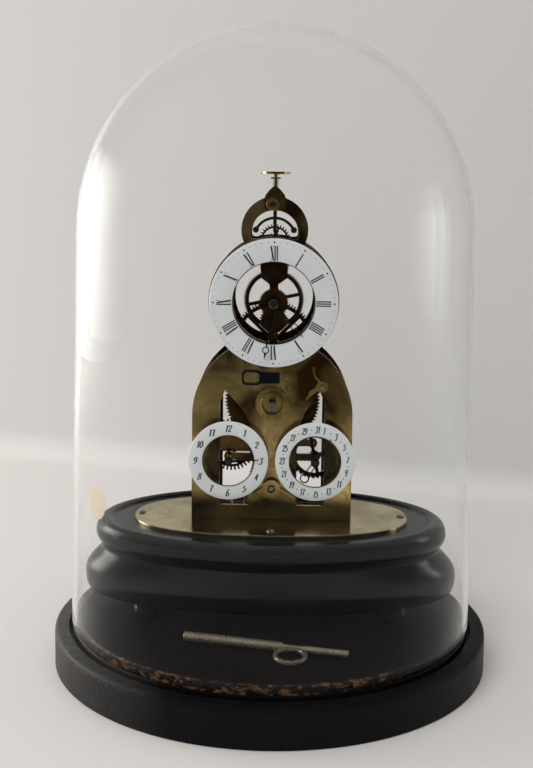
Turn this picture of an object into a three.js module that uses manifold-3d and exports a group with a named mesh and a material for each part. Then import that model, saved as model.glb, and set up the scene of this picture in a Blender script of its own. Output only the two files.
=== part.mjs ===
// Skeleton clock with alarm and date dials, under a glass dome on an oval wooden base.
// Units are millimetres. X is to the right, Y to the back, Z up; the origin is the centre of the foot.
// The glass dome lifts off. All wheels turn on axes along Y.

import * as THREE from 'three';
import { mergeVertices } from 'three/addons/utils/BufferGeometryUtils.js';
import Module from 'manifold-3d';

const wasm = await Module();
wasm.setup();

// Running and seating clearance between neighbouring pieces, and how far a cutter overruns
const GAP = 0.3;
const OVERRUN = 2;
const TURN = 2 * Math.PI;

// Base board, raised floor and dome, as half widths (X), half depths (Y) and heights
const board = { halfWidth: 147, halfDepth: 132, height: 25, edge: 2.6 };
const dome = { halfWidth: 136, halfDepth: 121, wall: 3, springLine: 292, crown: 136, taper: 4, rows: 7 };
const groove = { depth: 5, side: 1.4 };
const floorBoard = { inset: 2.6, rise: 6, edge: 1.2 };

// Moulded plinth on bun feet, standing back from the middle of the board to leave room for the key
const plinth = {
  setBack: 8, sideGap: 3, depthGap: 61, height: 50.2, footHeight: 10.2, footRadius: 8,
  footShare: 0.78, footDepthShare: 0.5,
  rimOut: 14.6, rimDepthOut: 4.5, rimDrop: 8, torusOut: 22.8, torusDepthOut: -4.5, torusDrop: 38.5,
  neckOut: 10.8, neckDepthOut: -4, neckDrop: 18, footOut: 16.8, footDepthOut: -14,
  cavityHalfWidth: 60, cavityHalfDepth: 34, cavityDepth: 38,
};
const brassBase = { inset: 12.7, depthInset: 16.5, thickness: 2, squareness: 2.3, screwInset: 4.4 };
const baseScrew = { radius: 2.6, head: 1 };

// Movement plates: a round-headed plate, the dial circle and the small ring above, in one outline
const plates = {
  frontFace: -4, thickness: 2.6, span: 43, halfWidth: 54.5, shoulder: 166.3,
  dialHeight: 244.65, dialRadius: 44, dialOpening: 27.5,
  ringRise: 7.3, ringRadius: 22.3, ringOpening: 16.2, ringOpeningRise: 20.3, ringSill: 43.75, ringCorner: 4,
};
const windows = {
  leftInner: 13, rightInner: 17, outer: 35.6, sill: 104.5, spring: 152, shoulder: 176, apexX: 32,
  apex: 184,
};
const pillar = {
  radius: 3, collar: 4.2, collarLength: 2.4, shank: 1.6, nutRadius: 3.2, nutLength: 2.6, x: 45.5,
  low: 101.5, highX: 40, high: 186,
};

// Teeth: addendum and dedendum in modules, widths as shares of the tooth pitch
const wheelTeeth = { tipShares: 1, rootShares: 1.3, footShare: 0.74, crestShare: 0 };
const innerTeeth = { tipShares: 1, rootShares: 1.7, footShare: 1, crestShare: 0 };
const pinionTeeth = { tipShares: 0.7, rootShares: 1.3, footShare: 0.44, crestShare: 0.2 };
const arborRadius = 0.95;
const pivot = { radius: 0.8, length: 2.2 };
const hubRadius = 3.4;
const armBreadth = 2.4;

// Going train, from the barrel up to the escape wheel; every front is the front face of its wheel
const great = {
  teeth: 84, pitchRadius: 32.2, height: 175.6, front: 9, thickness: 2,
  drumRadius: 22, drumLength: 19, drumWall: 1.6, arbor: 1.9,
};
const intermediate = {
  pinion: 12, pinionFront: 6.6, pinionLength: 7, teeth: 80, front: 33, thickness: 1.4, rim: 2.6,
  arms: 4,
};
const centre = {
  pinion: 10, pinionFront: 31.6, pinionLength: 4.4, teeth: 84, pitchRadius: 20.41,
  front: 12, thickness: 1.6, rim: 2.6, arms: 4, turn: 12,
  arbor: 1.3, collet: 3.6, colletDepth: 1.4,
};
const third = {
  pinion: 8, pinionFront: 11, pinionLength: 4, teeth: 52, pitchRadius: 9.88, front: 22,
  thickness: 1.2,
};
const fourth = {
  pinion: 8, pinionFront: 20.6, pinionLength: 4, teeth: 24, pitchRadius: 8.4, front: 28,
  thickness: 1.2,
};
const escape = {
  pinion: 12, pinionFront: 26.6, pinionLength: 4, teeth: 30, riseShare: 0.7707, tip: 11.2, root: 9.4,
  rim: 1.3, arms: 4, armWidth: 1.5, hub: 2.2, footShare: 0.5, front: 9, thickness: 1.2, lean: 0.3,
};

// Anchor with its strip and pads, cocks above the ring, crutch, silk suspension and pendulum
const anchor = {
  pivotRise: 24.5, arcRise: 0.9, arcRadius: 14.1, arcWidth: 1.9, padX: 12.9, padRise: 6.9, padRadius: 2.2,
  front: 8, thickness: 3, stripWidth: 2.4, stripRise: 5.5, stripThickness: 1.3, arbor: 1,
};
const cock = {
  apexRise: 12, shoulderHalf: 7.8, shoulderRise: 2, footDrop: 3.6, thickness: 2.4,
  bossRadius: 4, bossX: -1.6, bossLength: 2.2,
};
const pendulum = {
  plane: 46, rodRadius: 0.8, bobDrop: 192, bobRadius: 15, bobThickness: 8,
  pinDrop: 4, pinRadius: 0.8, pinLength: 4.4,
};
const silk = { radius: 0.25, halfGap: 1.7, crossRise: 18 };
const suspension = {
  stemRadius: 1.2, armHeight: 3, armRise: 5.6, armHalf: 3.2, armEnd: 50, crossHalf: 3.4,
  crossThickness: 1.2,
};
const ratingDisc = { radius: 10.5, thickness: 1.6, rise: 20.7, hub: 2.4, hubLength: 0.8 };
const crutch = { width: 2, thickness: 0.8, front: 42, drop: 48, forkWall: 0.9, forkHeight: 3, collar: 2.4 };

// Centre cocks, which cross the dial openings and carry the centre and third arbors
const centreCock = {
  thickness: 2, overlap: 3.5, headHalf: 9, headDrop: 6, neckHalf: 2.9, hub: 4.4, bossRadius: 3.6,
  tailHalf: 2.6,
};
const motion = {
  cannon: 10, cannonFront: -8.6, cannonLength: 1.9, minuteTeeth: 30, minutePinion: 10, minuteFront: -8.4,
  hourTeeth: 40, hourPitch: 9.72, hourFront: -10.4, thickness: 1.2, pipe: 2.4, studRadius: 0.9,
};

// Dials and hands
const dial = { front: -13.2, thickness: 1.2, radius: 43, inner: 27.5, footRadius: 1.2, footCircle: 36 };
const subDial = { x: 29.2, height: 137.6, radius: 26.9, inner: 17.4, footCircle: 22 };
const hand = { thickness: 0.6, hourPlane: -15.4, minutePlane: -17.4, wall: 0.7 };
const minuteHand = { length: 38, hub: 3, moon: 31.2, moonRadius: 2.4, root: 1, tip: 0.5, angle: 189 };
const hourHand = { length: 30, hub: 3.6, moon: 20.6, moonRadius: 2.4, root: 1.1, tip: 0.5, angle: 138 };
const alarmHand = { length: 20.5, tail: 7, hub: 2.8, root: 0.9, tip: 0.4, angle: 86 };
const dateHand = {
  length: 19.3, tail: 9.6, hub: 3, ringRadius: 3.2, root: 0.9, tip: 0.4, neck: 1.5, angle: 33,
};

// Winding work and date lever on the front plate
const ratchet = {
  teeth: 24, radius: 12, root: 10.6, thickness: 1.7, bossRadius: 8.2, bossInner: 6.4, bossDepth: 2.6,
};
const square = { side: 4.6, length: 7.4 };
const click = {
  x: 9.4, rise: 18, radius: 3, beakX: 9.2, beakRise: 8.9, width: 3.2, thickness: 1.7, screw: 1.4,
};
const clickSpring = {
  blockX: -2, blockRise: 17.4, blockHalfX: 6.6, blockHalfZ: 3.6, loopX: -14.4, loopHalfX: 6.4,
  loopHalfZ: 5, strip: 1.1, thickness: 1.6,
};
const dateLever = {
  x: 33.4, rise: 11.8, radius: 4, screw: 1.5, strip: 1.6, thickness: 1.2, armX: -11, armZ: -9.5,
  tailX: -5.6, tailZ: 13.6,
};

// Date wheel, alarm setting wheel and the bars that carry their arbors across the windows
const dateWheel = {
  teeth: 31, tip: 16.7, root: 14.9, rim: 2.4, arms: 4, front: 5, thickness: 1.4, lean: 0.35,
};
const settingWheel = { teeth: 40, tip: 18.9, root: 16, rim: 1.6, arms: 4, front: 31.4, thickness: 1.2 };
const bar = { halfHeight: 2.4, thickness: 2, hub: 3.6 };

// Alarm train, hammer and bell
const alarm = {
  teeth: 48, pitchRadius: 15.6, height: 117.2, front: 20, thickness: 1.6, drumRadius: 10.4,
  drumLength: 11, drumWall: 1.4, arbor: 1.6,
};
const alarmSecond = {
  pinion: 8, pinionFront: 19, pinionLength: 3.6, teeth: 32, pitchRadius: 6.4, angle: -125,
  front: 25.6, thickness: 1.2,
};
const alarmEscape = {
  pinion: 8, pinionFront: 24.6, pinionLength: 3.4, teeth: 15, tip: 5.4, root: 4, front: 31.4,
  thickness: 1.2, angle: 180,
};
const hammer = {
  offset: 9.4, plane: 18, headRadius: 2.6, headHalf: 3.4, armRadius: 0.8, pallet: 2.4,
  hookTop: 11.4, hookRadius: 1.6,
};
const bell = { radius: 14, depth: 16, wall: 1.4, crown: 86, restGap: 2.2, post: 2 };
const bridge = {
  bossRadius: 6.2, bossHole: 2.9, petalX: 11, petalZ: -9, petalHalf: 5.6, neck: 2.6, thickness: 1.6,
  bossLength: 4,
};

// Winding key, lying on the raised floor
const key = {
  bigRadius: 2.9, bigLength: 63, smallRadius: 2.1, smallLength: 28, neckRadius: 1.7, neckLength: 6,
  bowRadius: 10.6, bowWall: 2.6, bowThickness: 2.2, bore: 1.6, boreDepth: 14, x: -54, y: -57, angle: -12,
};

// Number of sides on round forms
const sides = { oval: 36, dome: 32, plate: 36, dial: 40, drum: 16, small: 8, tiny: 6 };

// Heights and planes that follow from the sizes above
const plinthHalfWidth = dome.halfWidth - dome.wall - plinth.sideGap - plinth.torusOut;
const plinthHalfDepth = dome.halfDepth - dome.wall - plinth.depthGap - plinth.torusDepthOut;
const brassHalfWidth = plinthHalfWidth - brassBase.inset;
const brassHalfDepth = plinthHalfDepth - brassBase.depthInset;
const floorTop = board.height + GAP + floorBoard.rise;
const plinthFoot = floorTop + GAP + plinth.footHeight;
const plinthTop = plinthFoot + plinth.height;
const brassTop = plinthTop + GAP + brassBase.thickness;
const plateFoot = brassTop + GAP;
const frontBack = plates.frontFace + plates.thickness;
const rearBack = plates.frontFace + plates.span;
const rearFront = rearBack - plates.thickness;
const onFront = plates.frontFace - GAP;
const clickHeight = great.height + click.rise;
const beakHeight = great.height + click.beakRise;
const blockHeight = great.height + clickSpring.blockRise;
const leverHeight = great.height + dateLever.rise;
const rad = (degrees) => (degrees * Math.PI) / 180;

// Reads a closed geometry as a solid with shared corners
function solid(geometry) {
  const bare = geometry.index ? geometry.toNonIndexed() : geometry.clone();
  for (const name of Object.keys(bare.attributes)) if (name !== 'position') bare.deleteAttribute(name);
  const merged = mergeVertices(bare, 1e-4);
  const index = merged.index.array;
  const kept = [];
  for (let i = 0; i < index.length; i += 3) {
    const [a, b, c] = [index[i], index[i + 1], index[i + 2]];
    if (a !== b && b !== c && c !== a) kept.push(a, b, c);
  }
  const build = (tris) =>
    new wasm.Manifold(
      new wasm.Mesh({
        numProp: 3,
        vertProperties: new Float32Array(merged.attributes.position.array),
        triVerts: new Uint32Array(tris),
      }),
    );
  const first = build(kept);
  if (first.volume() > 0) return first;
  for (let i = 0; i < kept.length; i += 3) [kept[i + 1], kept[i + 2]] = [kept[i + 2], kept[i + 1]];
  return build(kept);
}

// Turns a solid back into a geometry
function geometryOf(body) {
  const mesh = body.getMesh();
  const geometry = new THREE.BufferGeometry();
  const points = new Float32Array((mesh.vertProperties.length / mesh.numProp) * 3);
  for (let i = 0; i < points.length / 3; i += 1) {
    for (let k = 0; k < 3; k += 1) points[3 * i + k] = mesh.vertProperties[i * mesh.numProp + k];
  }
  geometry.setAttribute('position', new THREE.BufferAttribute(points, 3));
  geometry.setIndex(new THREE.BufferAttribute(new Uint32Array(mesh.triVerts), 1));
  geometry.computeVertexNormals();
  return geometry;
}

const join = (...parts) => geometryOf(parts.map(solid).reduce((a, b) => a.add(b)));
const cut = (part, ...tools) => geometryOf(tools.map(solid).reduce((a, b) => a.subtract(b), solid(part)));

// A round bar along Y, centred on x and z, from y0 to y1
function rod(radius, y0, y1, x, z, count = sides.small) {
  return new THREE.CylinderGeometry(radius, radius, y1 - y0, count).translate(x, (y0 + y1) / 2, z);
}

// A ring about a Y axis, closed in section
function ring(outer, inner, y0, y1, x, z, count = sides.drum) {
  const section = [[inner, y0], [outer, y0], [outer, y1], [inner, y1], [inner, y0]];
  return turnedY(section, x, z, count);
}

// A section of [radius, y] pairs turned about a Y axis
function turnedY(section, x, z, count = sides.drum) {
  const points = section.map(([r, y]) => new THREE.Vector2(r, y));
  return new THREE.LatheGeometry(points, count).translate(x, 0, z);
}

// A section of [radius, z] pairs turned about a vertical axis
function turnedZ(section, x, y, count = sides.drum) {
  const points = section.map(([r, z]) => new THREE.Vector2(r, z));
  return new THREE.LatheGeometry(points, count).rotateX(Math.PI / 2).translate(x, y, 0);
}

// A flat piece with an outline in X and Z, from y0 to y1
function slab(shape, y0, y1, curveSegments = sides.small) {
  const settings = { depth: y1 - y0, bevelEnabled: false, curveSegments };
  return new THREE.ExtrudeGeometry(shape, settings).rotateX(Math.PI / 2).translate(0, y1, 0);
}

const polygon = (points) => new THREE.Shape(points.map(([x, z]) => new THREE.Vector2(x, z)));
const box = (x0, x1, y0, y1, z0, z1) =>
  new THREE.BoxGeometry(x1 - x0, y1 - y0, z1 - z0).translate((x0 + x1) / 2, (y0 + y1) / 2, (z0 + z1) / 2);

// Points on an arc about (x, z), angles in radians from +X towards +Z
function arc(x, z, radius, from, to, count) {
  const points = [];
  for (let i = 0; i <= count; i += 1) {
    const angle = from + ((to - from) * i) / count;
    points.push([x + radius * Math.cos(angle), z + radius * Math.sin(angle)]);
  }
  return points;
}

// An oval form: each step [halfWidth, halfDepth, z] is a superellipse of the given squareness
function ovalForm(steps, y, count = sides.oval, squareness = 2) {
  const power = 2 / squareness;
  const positions = [];
  const rows = steps.map(([a, b, z]) => {
    const start = positions.length / 3;
    const single = a === 0;
    for (let i = 0; i < (single ? 1 : count); i += 1) {
      const t = (TURN * i) / count;
      const [c, s] = [Math.cos(t), Math.sin(t)];
      const px = a * Math.sign(c) * Math.abs(c) ** power;
      const py = y + b * Math.sign(s) * Math.abs(s) ** power;
      positions.push(single ? 0 : px, single ? y : py, z);
    }
    return { start, single };
  });
  const index = [];
  for (let r = 0; r + 1 < rows.length; r += 1) {
    const [low, high] = [rows[r], rows[r + 1]];
    for (let i = 0; i < count; i += 1) {
      const j = (i + 1) % count;
      if (!low.single) index.push(low.start + i, low.start + j, high.single ? high.start : high.start + j);
      if (!high.single) index.push(low.single ? low.start : low.start + i, high.start + j, high.start + i);
    }
  }
  const geometry = new THREE.BufferGeometry();
  geometry.setAttribute('position', new THREE.Float32BufferAttribute(positions, 3));
  geometry.setIndex(index);
  return geometryOf(solid(geometry));
}

// The outline of a toothed wheel about (x, z): a tooth is centred on the angle phase
function toothedOutline({ count, tip, root, footShare, crestShare, lean = 0 }, x, z, phase) {
  const pitch = TURN / count;
  const points = [];
  for (let i = 0; i < count; i += 1) {
    const middle = phase + i * pitch;
    const corner = (radius, share) => {
      const angle = middle + share * pitch;
      points.push([x + radius * Math.cos(angle), z + radius * Math.sin(angle)]);
    };
    if (footShare < 1) corner(root, -footShare / 2);
    if (crestShare > 0) corner(tip, lean - crestShare / 2);
    corner(tip, lean + crestShare / 2);
    corner(root, footShare / 2);
  }
  return polygon(points);
}

// Tip and root radii of a meshing wheel or pinion from its pitch radius
function meshing(count, pitchRadius, form) {
  const module = (2 * pitchRadius) / count;
  return {
    count,
    tip: pitchRadius + form.tipShares * module,
    root: pitchRadius - form.rootShares * module,
    footShare: form.footShare,
    crestShare: form.crestShare,
  };
}

// Openings between the arms of a wheel, as hole outlines
function crossings(shape, x, z, outer, inner, arms, armWidth, turn) {
  const step = TURN / arms;
  for (let i = 0; i < arms; i += 1) {
    const outHalf = Math.asin(armWidth / 2 / outer);
    const inHalf = Math.asin(armWidth / 2 / inner);
    const [from, to] = [turn + i * step, turn + (i + 1) * step];
    const rim = arc(x, z, outer, from + outHalf, to - outHalf, 5);
    const hub = arc(x, z, inner, to - inHalf, from + inHalf, 2);
    shape.holes.push(new THREE.Path([...rim, ...hub].map((p) => new THREE.Vector2(...p))));
  }
  return shape;
}

// The phase that sets a wheel of the second count in mesh with the first, seen along the angle towards it
function meshPhase(firstPhase, firstCount, towards, secondCount) {
  const share = ((towards - firstPhase) * firstCount) / TURN;
  return towards + Math.PI - (TURN / secondCount) * (0.5 - share);
}

const group = new THREE.Group();
const finishes = {
  brass: { color: 0x8f7a48, roughness: 0.42, metalness: 1 },
  paleBrass: { color: 0xb5a98a, roughness: 0.3, metalness: 1 },
  steel: { color: 0x8d8f93, roughness: 0.35, metalness: 1 },
  glass: { color: 0xf4f7f8, roughness: 0.03, metalness: 0, transparent: true, opacity: 0.2 },
  blackSteel: { color: 0x1b1c22, roughness: 0.4, metalness: 1 },
  enamel: { color: 0xe4e8ee, roughness: 0.25, metalness: 0 },
  ebonised: { color: 0x17161a, roughness: 0.35, metalness: 0 },
  silk: { color: 0xb8a06a, roughness: 0.8, metalness: 0 },
};

// Adds one named piece to the clock
function add(name, geometry, finish) {
  const material = new THREE.MeshStandardMaterial(finishes[finish] ?? finish);
  const mesh = new THREE.Mesh(geometry, material);
  mesh.name = name;
  group.add(mesh);
}

// Base board with the groove that takes the foot of the dome
function baseBoard() {
  const inset = (out) => [board.halfWidth - out, board.halfDepth - out];
  const top = board.height;
  const floor = top - groove.depth;
  const outer = [dome.halfWidth + groove.side, dome.halfDepth + groove.side];
  const inner = [dome.halfWidth - dome.wall - groove.side, dome.halfDepth - dome.wall - groove.side];
  return ovalForm(
    [
      [0, 0, 0],
      [...inset(0), 0],
      [...inset(0), top - board.edge],
      [...inset(board.edge * 0.3), top - board.edge * 0.3],
      [...inset(board.edge), top],
      [...outer, top],
      [...outer, floor],
      [...inner, floor],
      [...inner, top],
      [0, 0, top],
    ],
    0,
  );
}

// Raised oval floor inside the dome
function raisedFloor() {
  const out = dome.wall + floorBoard.inset;
  const [a, b] = [dome.halfWidth - out, dome.halfDepth - out];
  const foot = board.height + GAP;
  const { edge } = floorBoard;
  return ovalForm(
    [[0, 0, foot], [a, b, foot], [a, b, floorTop - edge], [a - edge, b - edge, floorTop], [0, 0, floorTop]],
    0,
  );
}

// Glass dome: an oval wall that narrows a little upwards, closed by a round crown and open below
function glassDome() {
  const foot = board.height - groove.depth + GAP;
  const shoulderWidth = dome.halfWidth - dome.taper;
  const shoulderDepth = dome.halfDepth - dome.taper;
  const shell = (inset) => {
    const rows = [];
    for (let i = 0; i < dome.rows; i += 1) {
      const angle = (Math.PI / 2) * (i / dome.rows);
      const round = Math.cos(angle);
      const z = dome.springLine + (dome.crown - inset) * Math.sin(angle);
      rows.push([(shoulderWidth - inset) * round, (shoulderDepth - inset) * round, z]);
    }
    return rows;
  };
  const [a, b, w] = [dome.halfWidth, dome.halfDepth, dome.wall];
  const outerTop = [0, 0, dome.springLine + dome.crown];
  const innerTop = [0, 0, dome.springLine + dome.crown - w];
  const outside = ovalForm([[0, 0, foot], [a, b, foot], ...shell(0), outerTop], 0, sides.dome);
  const below = foot - OVERRUN;
  const inside = ovalForm([[0, 0, below], [a - w, b - w, below], ...shell(w), innerTop], 0, sides.dome);
  return cut(outside, inside);
}

// Moulded plinth on its bun feet: bottom edge, torus, hollow neck, rounded rim and flat top with a
// hidden cavity
function plinthBody() {
  return join(plinthMoulding(), ...plinthFeet());
}

function plinthMoulding() {
  const at = (out, depthOut, z) => [plinthHalfWidth + out, plinthHalfDepth + depthOut, z];
  const {
    rimOut, rimDepthOut, torusOut, torusDepthOut, neckOut, neckDepthOut, footOut, footDepthOut,
  } = plinth;
  const rimMiddle = plinthTop - plinth.rimDrop;
  const neck = plinthTop - plinth.neckDrop;
  const torus = plinthTop - plinth.torusDrop;
  const torusHalf = torus - plinthFoot;
  const between = (a, b, share) => a + (b - a) * share;
  const cavityFloor = plinthTop - plinth.cavityDepth;
  return ovalForm(
    [
      [0, 0, plinthFoot],
      at(footOut, footDepthOut, plinthFoot),
      at(
        between(footOut, torusOut, 0.75), between(footDepthOut, torusDepthOut, 0.75),
        torus - torusHalf * 0.55,
      ),
      at(torusOut, torusDepthOut, torus),
      at(
        between(torusOut, neckOut, 0.2), between(torusDepthOut, neckDepthOut, 0.2),
        between(torus, neck, 0.45),
      ),
      at(
        between(torusOut, neckOut, 0.7), between(torusDepthOut, neckDepthOut, 0.7),
        between(torus, neck, 0.78),
      ),
      at(neckOut, neckDepthOut, neck),
      at(
        between(neckOut, rimOut, 0.5), between(neckDepthOut, rimDepthOut, 0.5),
        between(neck, rimMiddle, 0.45),
      ),
      at(rimOut, rimDepthOut, rimMiddle),
      at(rimOut * 0.85, rimDepthOut * 0.85, plinthTop - plinth.rimDrop * 0.4),
      at(rimOut * 0.45, rimDepthOut * 0.45, plinthTop - plinth.rimDrop * 0.08),
      at(0, 0, plinthTop),
      [plinth.cavityHalfWidth, plinth.cavityHalfDepth, plinthTop],
      [plinth.cavityHalfWidth, plinth.cavityHalfDepth, cavityFloor],
      [0, 0, cavityFloor],
    ],
    plinth.setBack,
  );
}

// Bun feet under the plinth
function plinthFeet() {
  const reachX = plinthHalfWidth * plinth.footShare;
  const reachY = plinthHalfDepth * plinth.footDepthShare;
  const [r, foot, top] = [plinth.footRadius, floorTop + GAP, plinthFoot + GAP];
  const section = [[0, foot], [r * 0.7, foot], [r, (foot + top) / 2], [r * 0.75, top], [0, top]];
  const place = ([sx, sy]) => turnedZ(section, sx * reachX, plinth.setBack + sy * reachY, sides.small);
  return [[-1, -1], [1, -1], [-1, 1], [1, 1]].map(place);
}

// Polished oval brass plate, with a slot for the alarm hammer
function brassPlate() {
  const foot = plinthTop + GAP;
  const [a, b] = [brassHalfWidth, brassHalfDepth];
  const steps = [[0, 0, foot], [a, b, foot], [a, b, brassTop], [0, 0, brassTop]];
  const body = ovalForm(steps, plinth.setBack, sides.oval, brassBase.squareness);
  const [halfX, halfY] = [hammer.pallet + hammer.armRadius, hammer.armRadius + GAP];
  const slot = box(
    hammerX - halfX, hammerX + halfX,
    hammer.plane - halfY, hammer.plane + halfY,
    foot - OVERRUN, brassTop + OVERRUN,
  );
  return join(cut(body, slot), ...brassPlateScrews());
}

// Heads of the screws that hold the brass plate
function brassPlateScrews() {
  const [r, h] = [baseScrew.radius, baseScrew.head];
  const foot = brassTop;
  const section = [
    [0, foot - h / 2], [r, foot - h / 2], [r * 0.9, foot + h * 0.6], [r * 0.4, foot + h],
    [0, foot + h],
  ];
  const x = brassHalfWidth - brassBase.screwInset;
  const y = brassHalfDepth - brassBase.screwInset * 2;
  const places = [[-x, 0], [x, 0], [0, -y]];
  return places.map(([px, py]) => turnedZ(section, px, plinth.setBack + py, sides.small));
}

// Height and half width where two circles on the middle line cross
function crossing(lowHeight, lowRadius, highHeight, highRadius) {
  const apart = highHeight - lowHeight;
  const up = (apart ** 2 + lowRadius ** 2 - highRadius ** 2) / (2 * apart);
  return [Math.sqrt(lowRadius ** 2 - up ** 2), lowHeight + up];
}

// Angle of a point seen from the middle line at a height, and helpers for outlines
const angleTo = ([x, z], height) => Math.atan2(z - height, x);
const mirrored = (points) => [...points, ...points.slice().reverse().map(([x, z]) => [-x, z])];
const holeOf = (points) => new THREE.Path(points.map(([x, z]) => new THREE.Vector2(x, z)));
const roundHole = (x, z, radius, count = sides.tiny) => holeOf(arc(
  x, z, radius, TURN, TURN / count, count - 1,
));

// Outline of a movement plate, and the outlines of its dial opening, ring opening and two windows
function plateOutlines() {
  const p = plates;
  const waist = crossing(p.shoulder, p.halfWidth, p.dialHeight, p.dialRadius);
  const neck = crossing(p.dialHeight, p.dialRadius, ringHeight, p.ringRadius);
  const side = [
    [p.halfWidth, plateFoot],
    ...arc(0, p.shoulder, p.halfWidth, 0, angleTo(waist, p.shoulder), 7),
    ...arc(
      0, p.dialHeight, p.dialRadius, angleTo(waist, p.dialHeight), angleTo(neck, p.dialHeight), 10,
    ).slice(1),
    ...arc(0, ringHeight, p.ringRadius, angleTo(neck, ringHeight), TURN / 4, 8).slice(1, -1),
    [0, ringHeight + p.ringRadius],
  ];
  const outline = [...side, ...side.slice(0, -1).reverse().map(([x, z]) => [-x, z])];
  const openings = [arc(0, p.dialHeight, p.dialOpening, TURN / sides.plate, TURN, sides.plate - 1)];
  const r = p.ringOpening;
  const low = p.ringSill;
  const reach = Math.asin((r - p.ringCorner) / low);
  const floorEdge = arc(0, p.dialHeight, low, TURN / 4, TURN / 4 - reach, 3);
  const [cornerX, cornerZ] = floorEdge.at(-1);
  const opening = [
    ...floorEdge,
    [cornerX + p.ringCorner * 0.75, cornerZ + p.ringCorner * 0.25],
    ...arc(0, ringOpeningTop - r, r, 0, TURN / 4, 7).slice(0, -1),
  ];
  const left = opening.slice(1).reverse().map(([x, z]) => [-x, z]);
  openings.push([...opening, [0, ringOpeningTop], ...left]);
  const w = windows;
  for (const [sign, inner] of [[-1, w.leftInner], [1, w.rightInner]]) {
    const curve = new THREE.QuadraticBezierCurve(
      new THREE.Vector2(sign * w.apexX, w.apex),
      new THREE.Vector2(sign * (inner + w.apexX * 0.06), w.shoulder - (w.apex - w.shoulder)),
      new THREE.Vector2(sign * inner, w.spring),
    );
    const inside = curve.getPoints(5).map((v) => [v.x, v.y]);
    openings.push([
      [sign * inner, w.sill], [sign * w.outer, w.sill], [sign * w.outer, w.shoulder], ...inside,
    ]);
  }
  return { outline, openings };
}

// A plate between two faces, with its openings and arbor holes
function plateBody(y0, y1, holes) {
  const { outline, openings } = plateOutlines();
  const cutters = openings.map((points) => slab(polygon(points), y0 - OVERRUN, y1 + OVERRUN));
  const drills = holes.map(([x, z, r]) => rod(r, y0 - OVERRUN, y1 + OVERRUN, x, z, sides.tiny));
  return cut(slab(polygon(outline), y0, y1), ...cutters, ...drills);
}

// Arbors that each plate carries, as [x, z, hole radius]
function frontHoles() {
  const run = pivot.radius + GAP;
  return [
    [0, great.height, great.arbor + GAP],
    [0, alarm.height, alarm.arbor + GAP],
    [0, interHeight, run],
    [fourthX, fourthHeight, run],
    [0, escapeHeight, run],
    [0, palletHeight, anchor.arbor + GAP],
    [secondX, secondHeight, run],
    [alarmEscapeX, alarmEscapeHeight, run],
    [hammerX, alarmEscapeHeight, run],
  ];
}

function frontPlate() {
  return join(plateBody(plates.frontFace, frontBack, frontHoles()), ...pivotScrews());
}

function rearPlate() {
  const shanks = pillarPlaces().map(([x, z]) => [x, z, pillar.shank + GAP]);
  return plateBody(rearFront, rearBack, [...frontHoles(), ...shanks]);
}

// Turned pillars that hold the plates apart: each passes through the rear plate into its nut
const pillarPlaces = () => [-1, 1].flatMap((sign) => [
  [sign * pillar.x, pillar.low], [sign * pillar.highX, pillar.high],
]);

function pillarAt(x, z) {
  const [y0, y1] = [frontBack + GAP, rearFront - GAP];
  const { radius: r, collar: c, collarLength: l, nutRadius: n, shank: s } = pillar;
  const nutFoot = rearBack + GAP;
  const end = nutFoot + pillar.nutLength;
  const section = [
    [0, y0], [c, y0], [c, y0 + l], [r, y0 + 2 * l], [r, y1 - 2 * l], [c, y1 - l], [c, y1], [s, y1],
    [s, nutFoot], [n * 0.9, nutFoot], [n * 0.9, end], [0, end],
  ];
  return join(turnedY(section, x, z, sides.small), rod(n, nutFoot, end - GAP, x, z, 6));
}

// Cock that crosses a dial opening: block at the top, boss of the third arbor, hub and tail
function centreCockBody(y0, y1, boss0, boss1) {
  const c = centreCock;
  const top = plates.dialHeight + plates.dialOpening + c.overlap;
  const foot = plates.dialHeight - plates.dialOpening - c.overlap;
  const headFoot = thirdHeight - c.headDrop;
  const block = mirrored([
    [c.tailHalf, foot], [c.tailHalf, plates.dialHeight], [c.neckHalf, headFoot - c.hub],
    [c.headHalf, headFoot], [c.headHalf, top],
  ]);
  const hub = rod(c.hub, y0, y1, 0, plates.dialHeight, sides.drum);
  const boss = rod(c.bossRadius, boss0, boss1, 0, thirdHeight, sides.small);
  const body = join(slab(polygon(block), y0, y1), hub, boss);
  const centreHole = rod(centre.arbor + GAP, boss0 - OVERRUN, boss1 + OVERRUN, 0, plates.dialHeight);
  const thirdHole = rod(pivot.radius + GAP, boss0 - OVERRUN, boss1 + OVERRUN, 0, thirdHeight, sides.tiny);
  return cut(body, centreHole, thirdHole);
}

function frontCentreCock() {
  const [y0, y1] = [onFront - centreCock.thickness, onFront];
  const body = centreCockBody(y0, y1, y0 - centreCock.thickness / 2, y1);
  const stud = rod(motion.studRadius, motion.hourFront - GAP, y1, 0, minuteHeight, sides.tiny);
  return join(body, stud);
}

function rearCentreCock() {
  const y0 = rearBack + GAP;
  return centreCockBody(y0, y0 + centreCock.thickness, y0, y0 + centreCock.thickness);
}

// Ogive cock above the ring, with the boss that carries the pallet arbor
function ogive() {
  const c = cock;
  const half = c.shoulderHalf;
  const shoulder = palletHeight + c.shoulderRise;
  const rise = c.apexRise - c.shoulderRise;
  return mirrored([
    [half * 0.86, palletHeight - c.footDrop], [half, shoulder], [half * 0.8, shoulder + rise * 0.42],
    [half * 0.42, shoulder + rise * 0.78], [half * 0.08, shoulder + rise],
  ]);
}

function frontCock() {
  const [y0, y1] = [onFront - cock.thickness, onFront];
  const body = slab(polygon(ogive()), y0, y1);
  const boss = rod(cock.bossRadius, y0 - cock.bossLength, y1, cock.bossX, palletHeight, sides.drum);
  const hole = rod(
    pivot.radius + GAP, y0 - cock.bossLength - OVERRUN, y1 + OVERRUN, 0, palletHeight, sides.tiny,
  );
  return cut(join(body, boss), hole);
}

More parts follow.
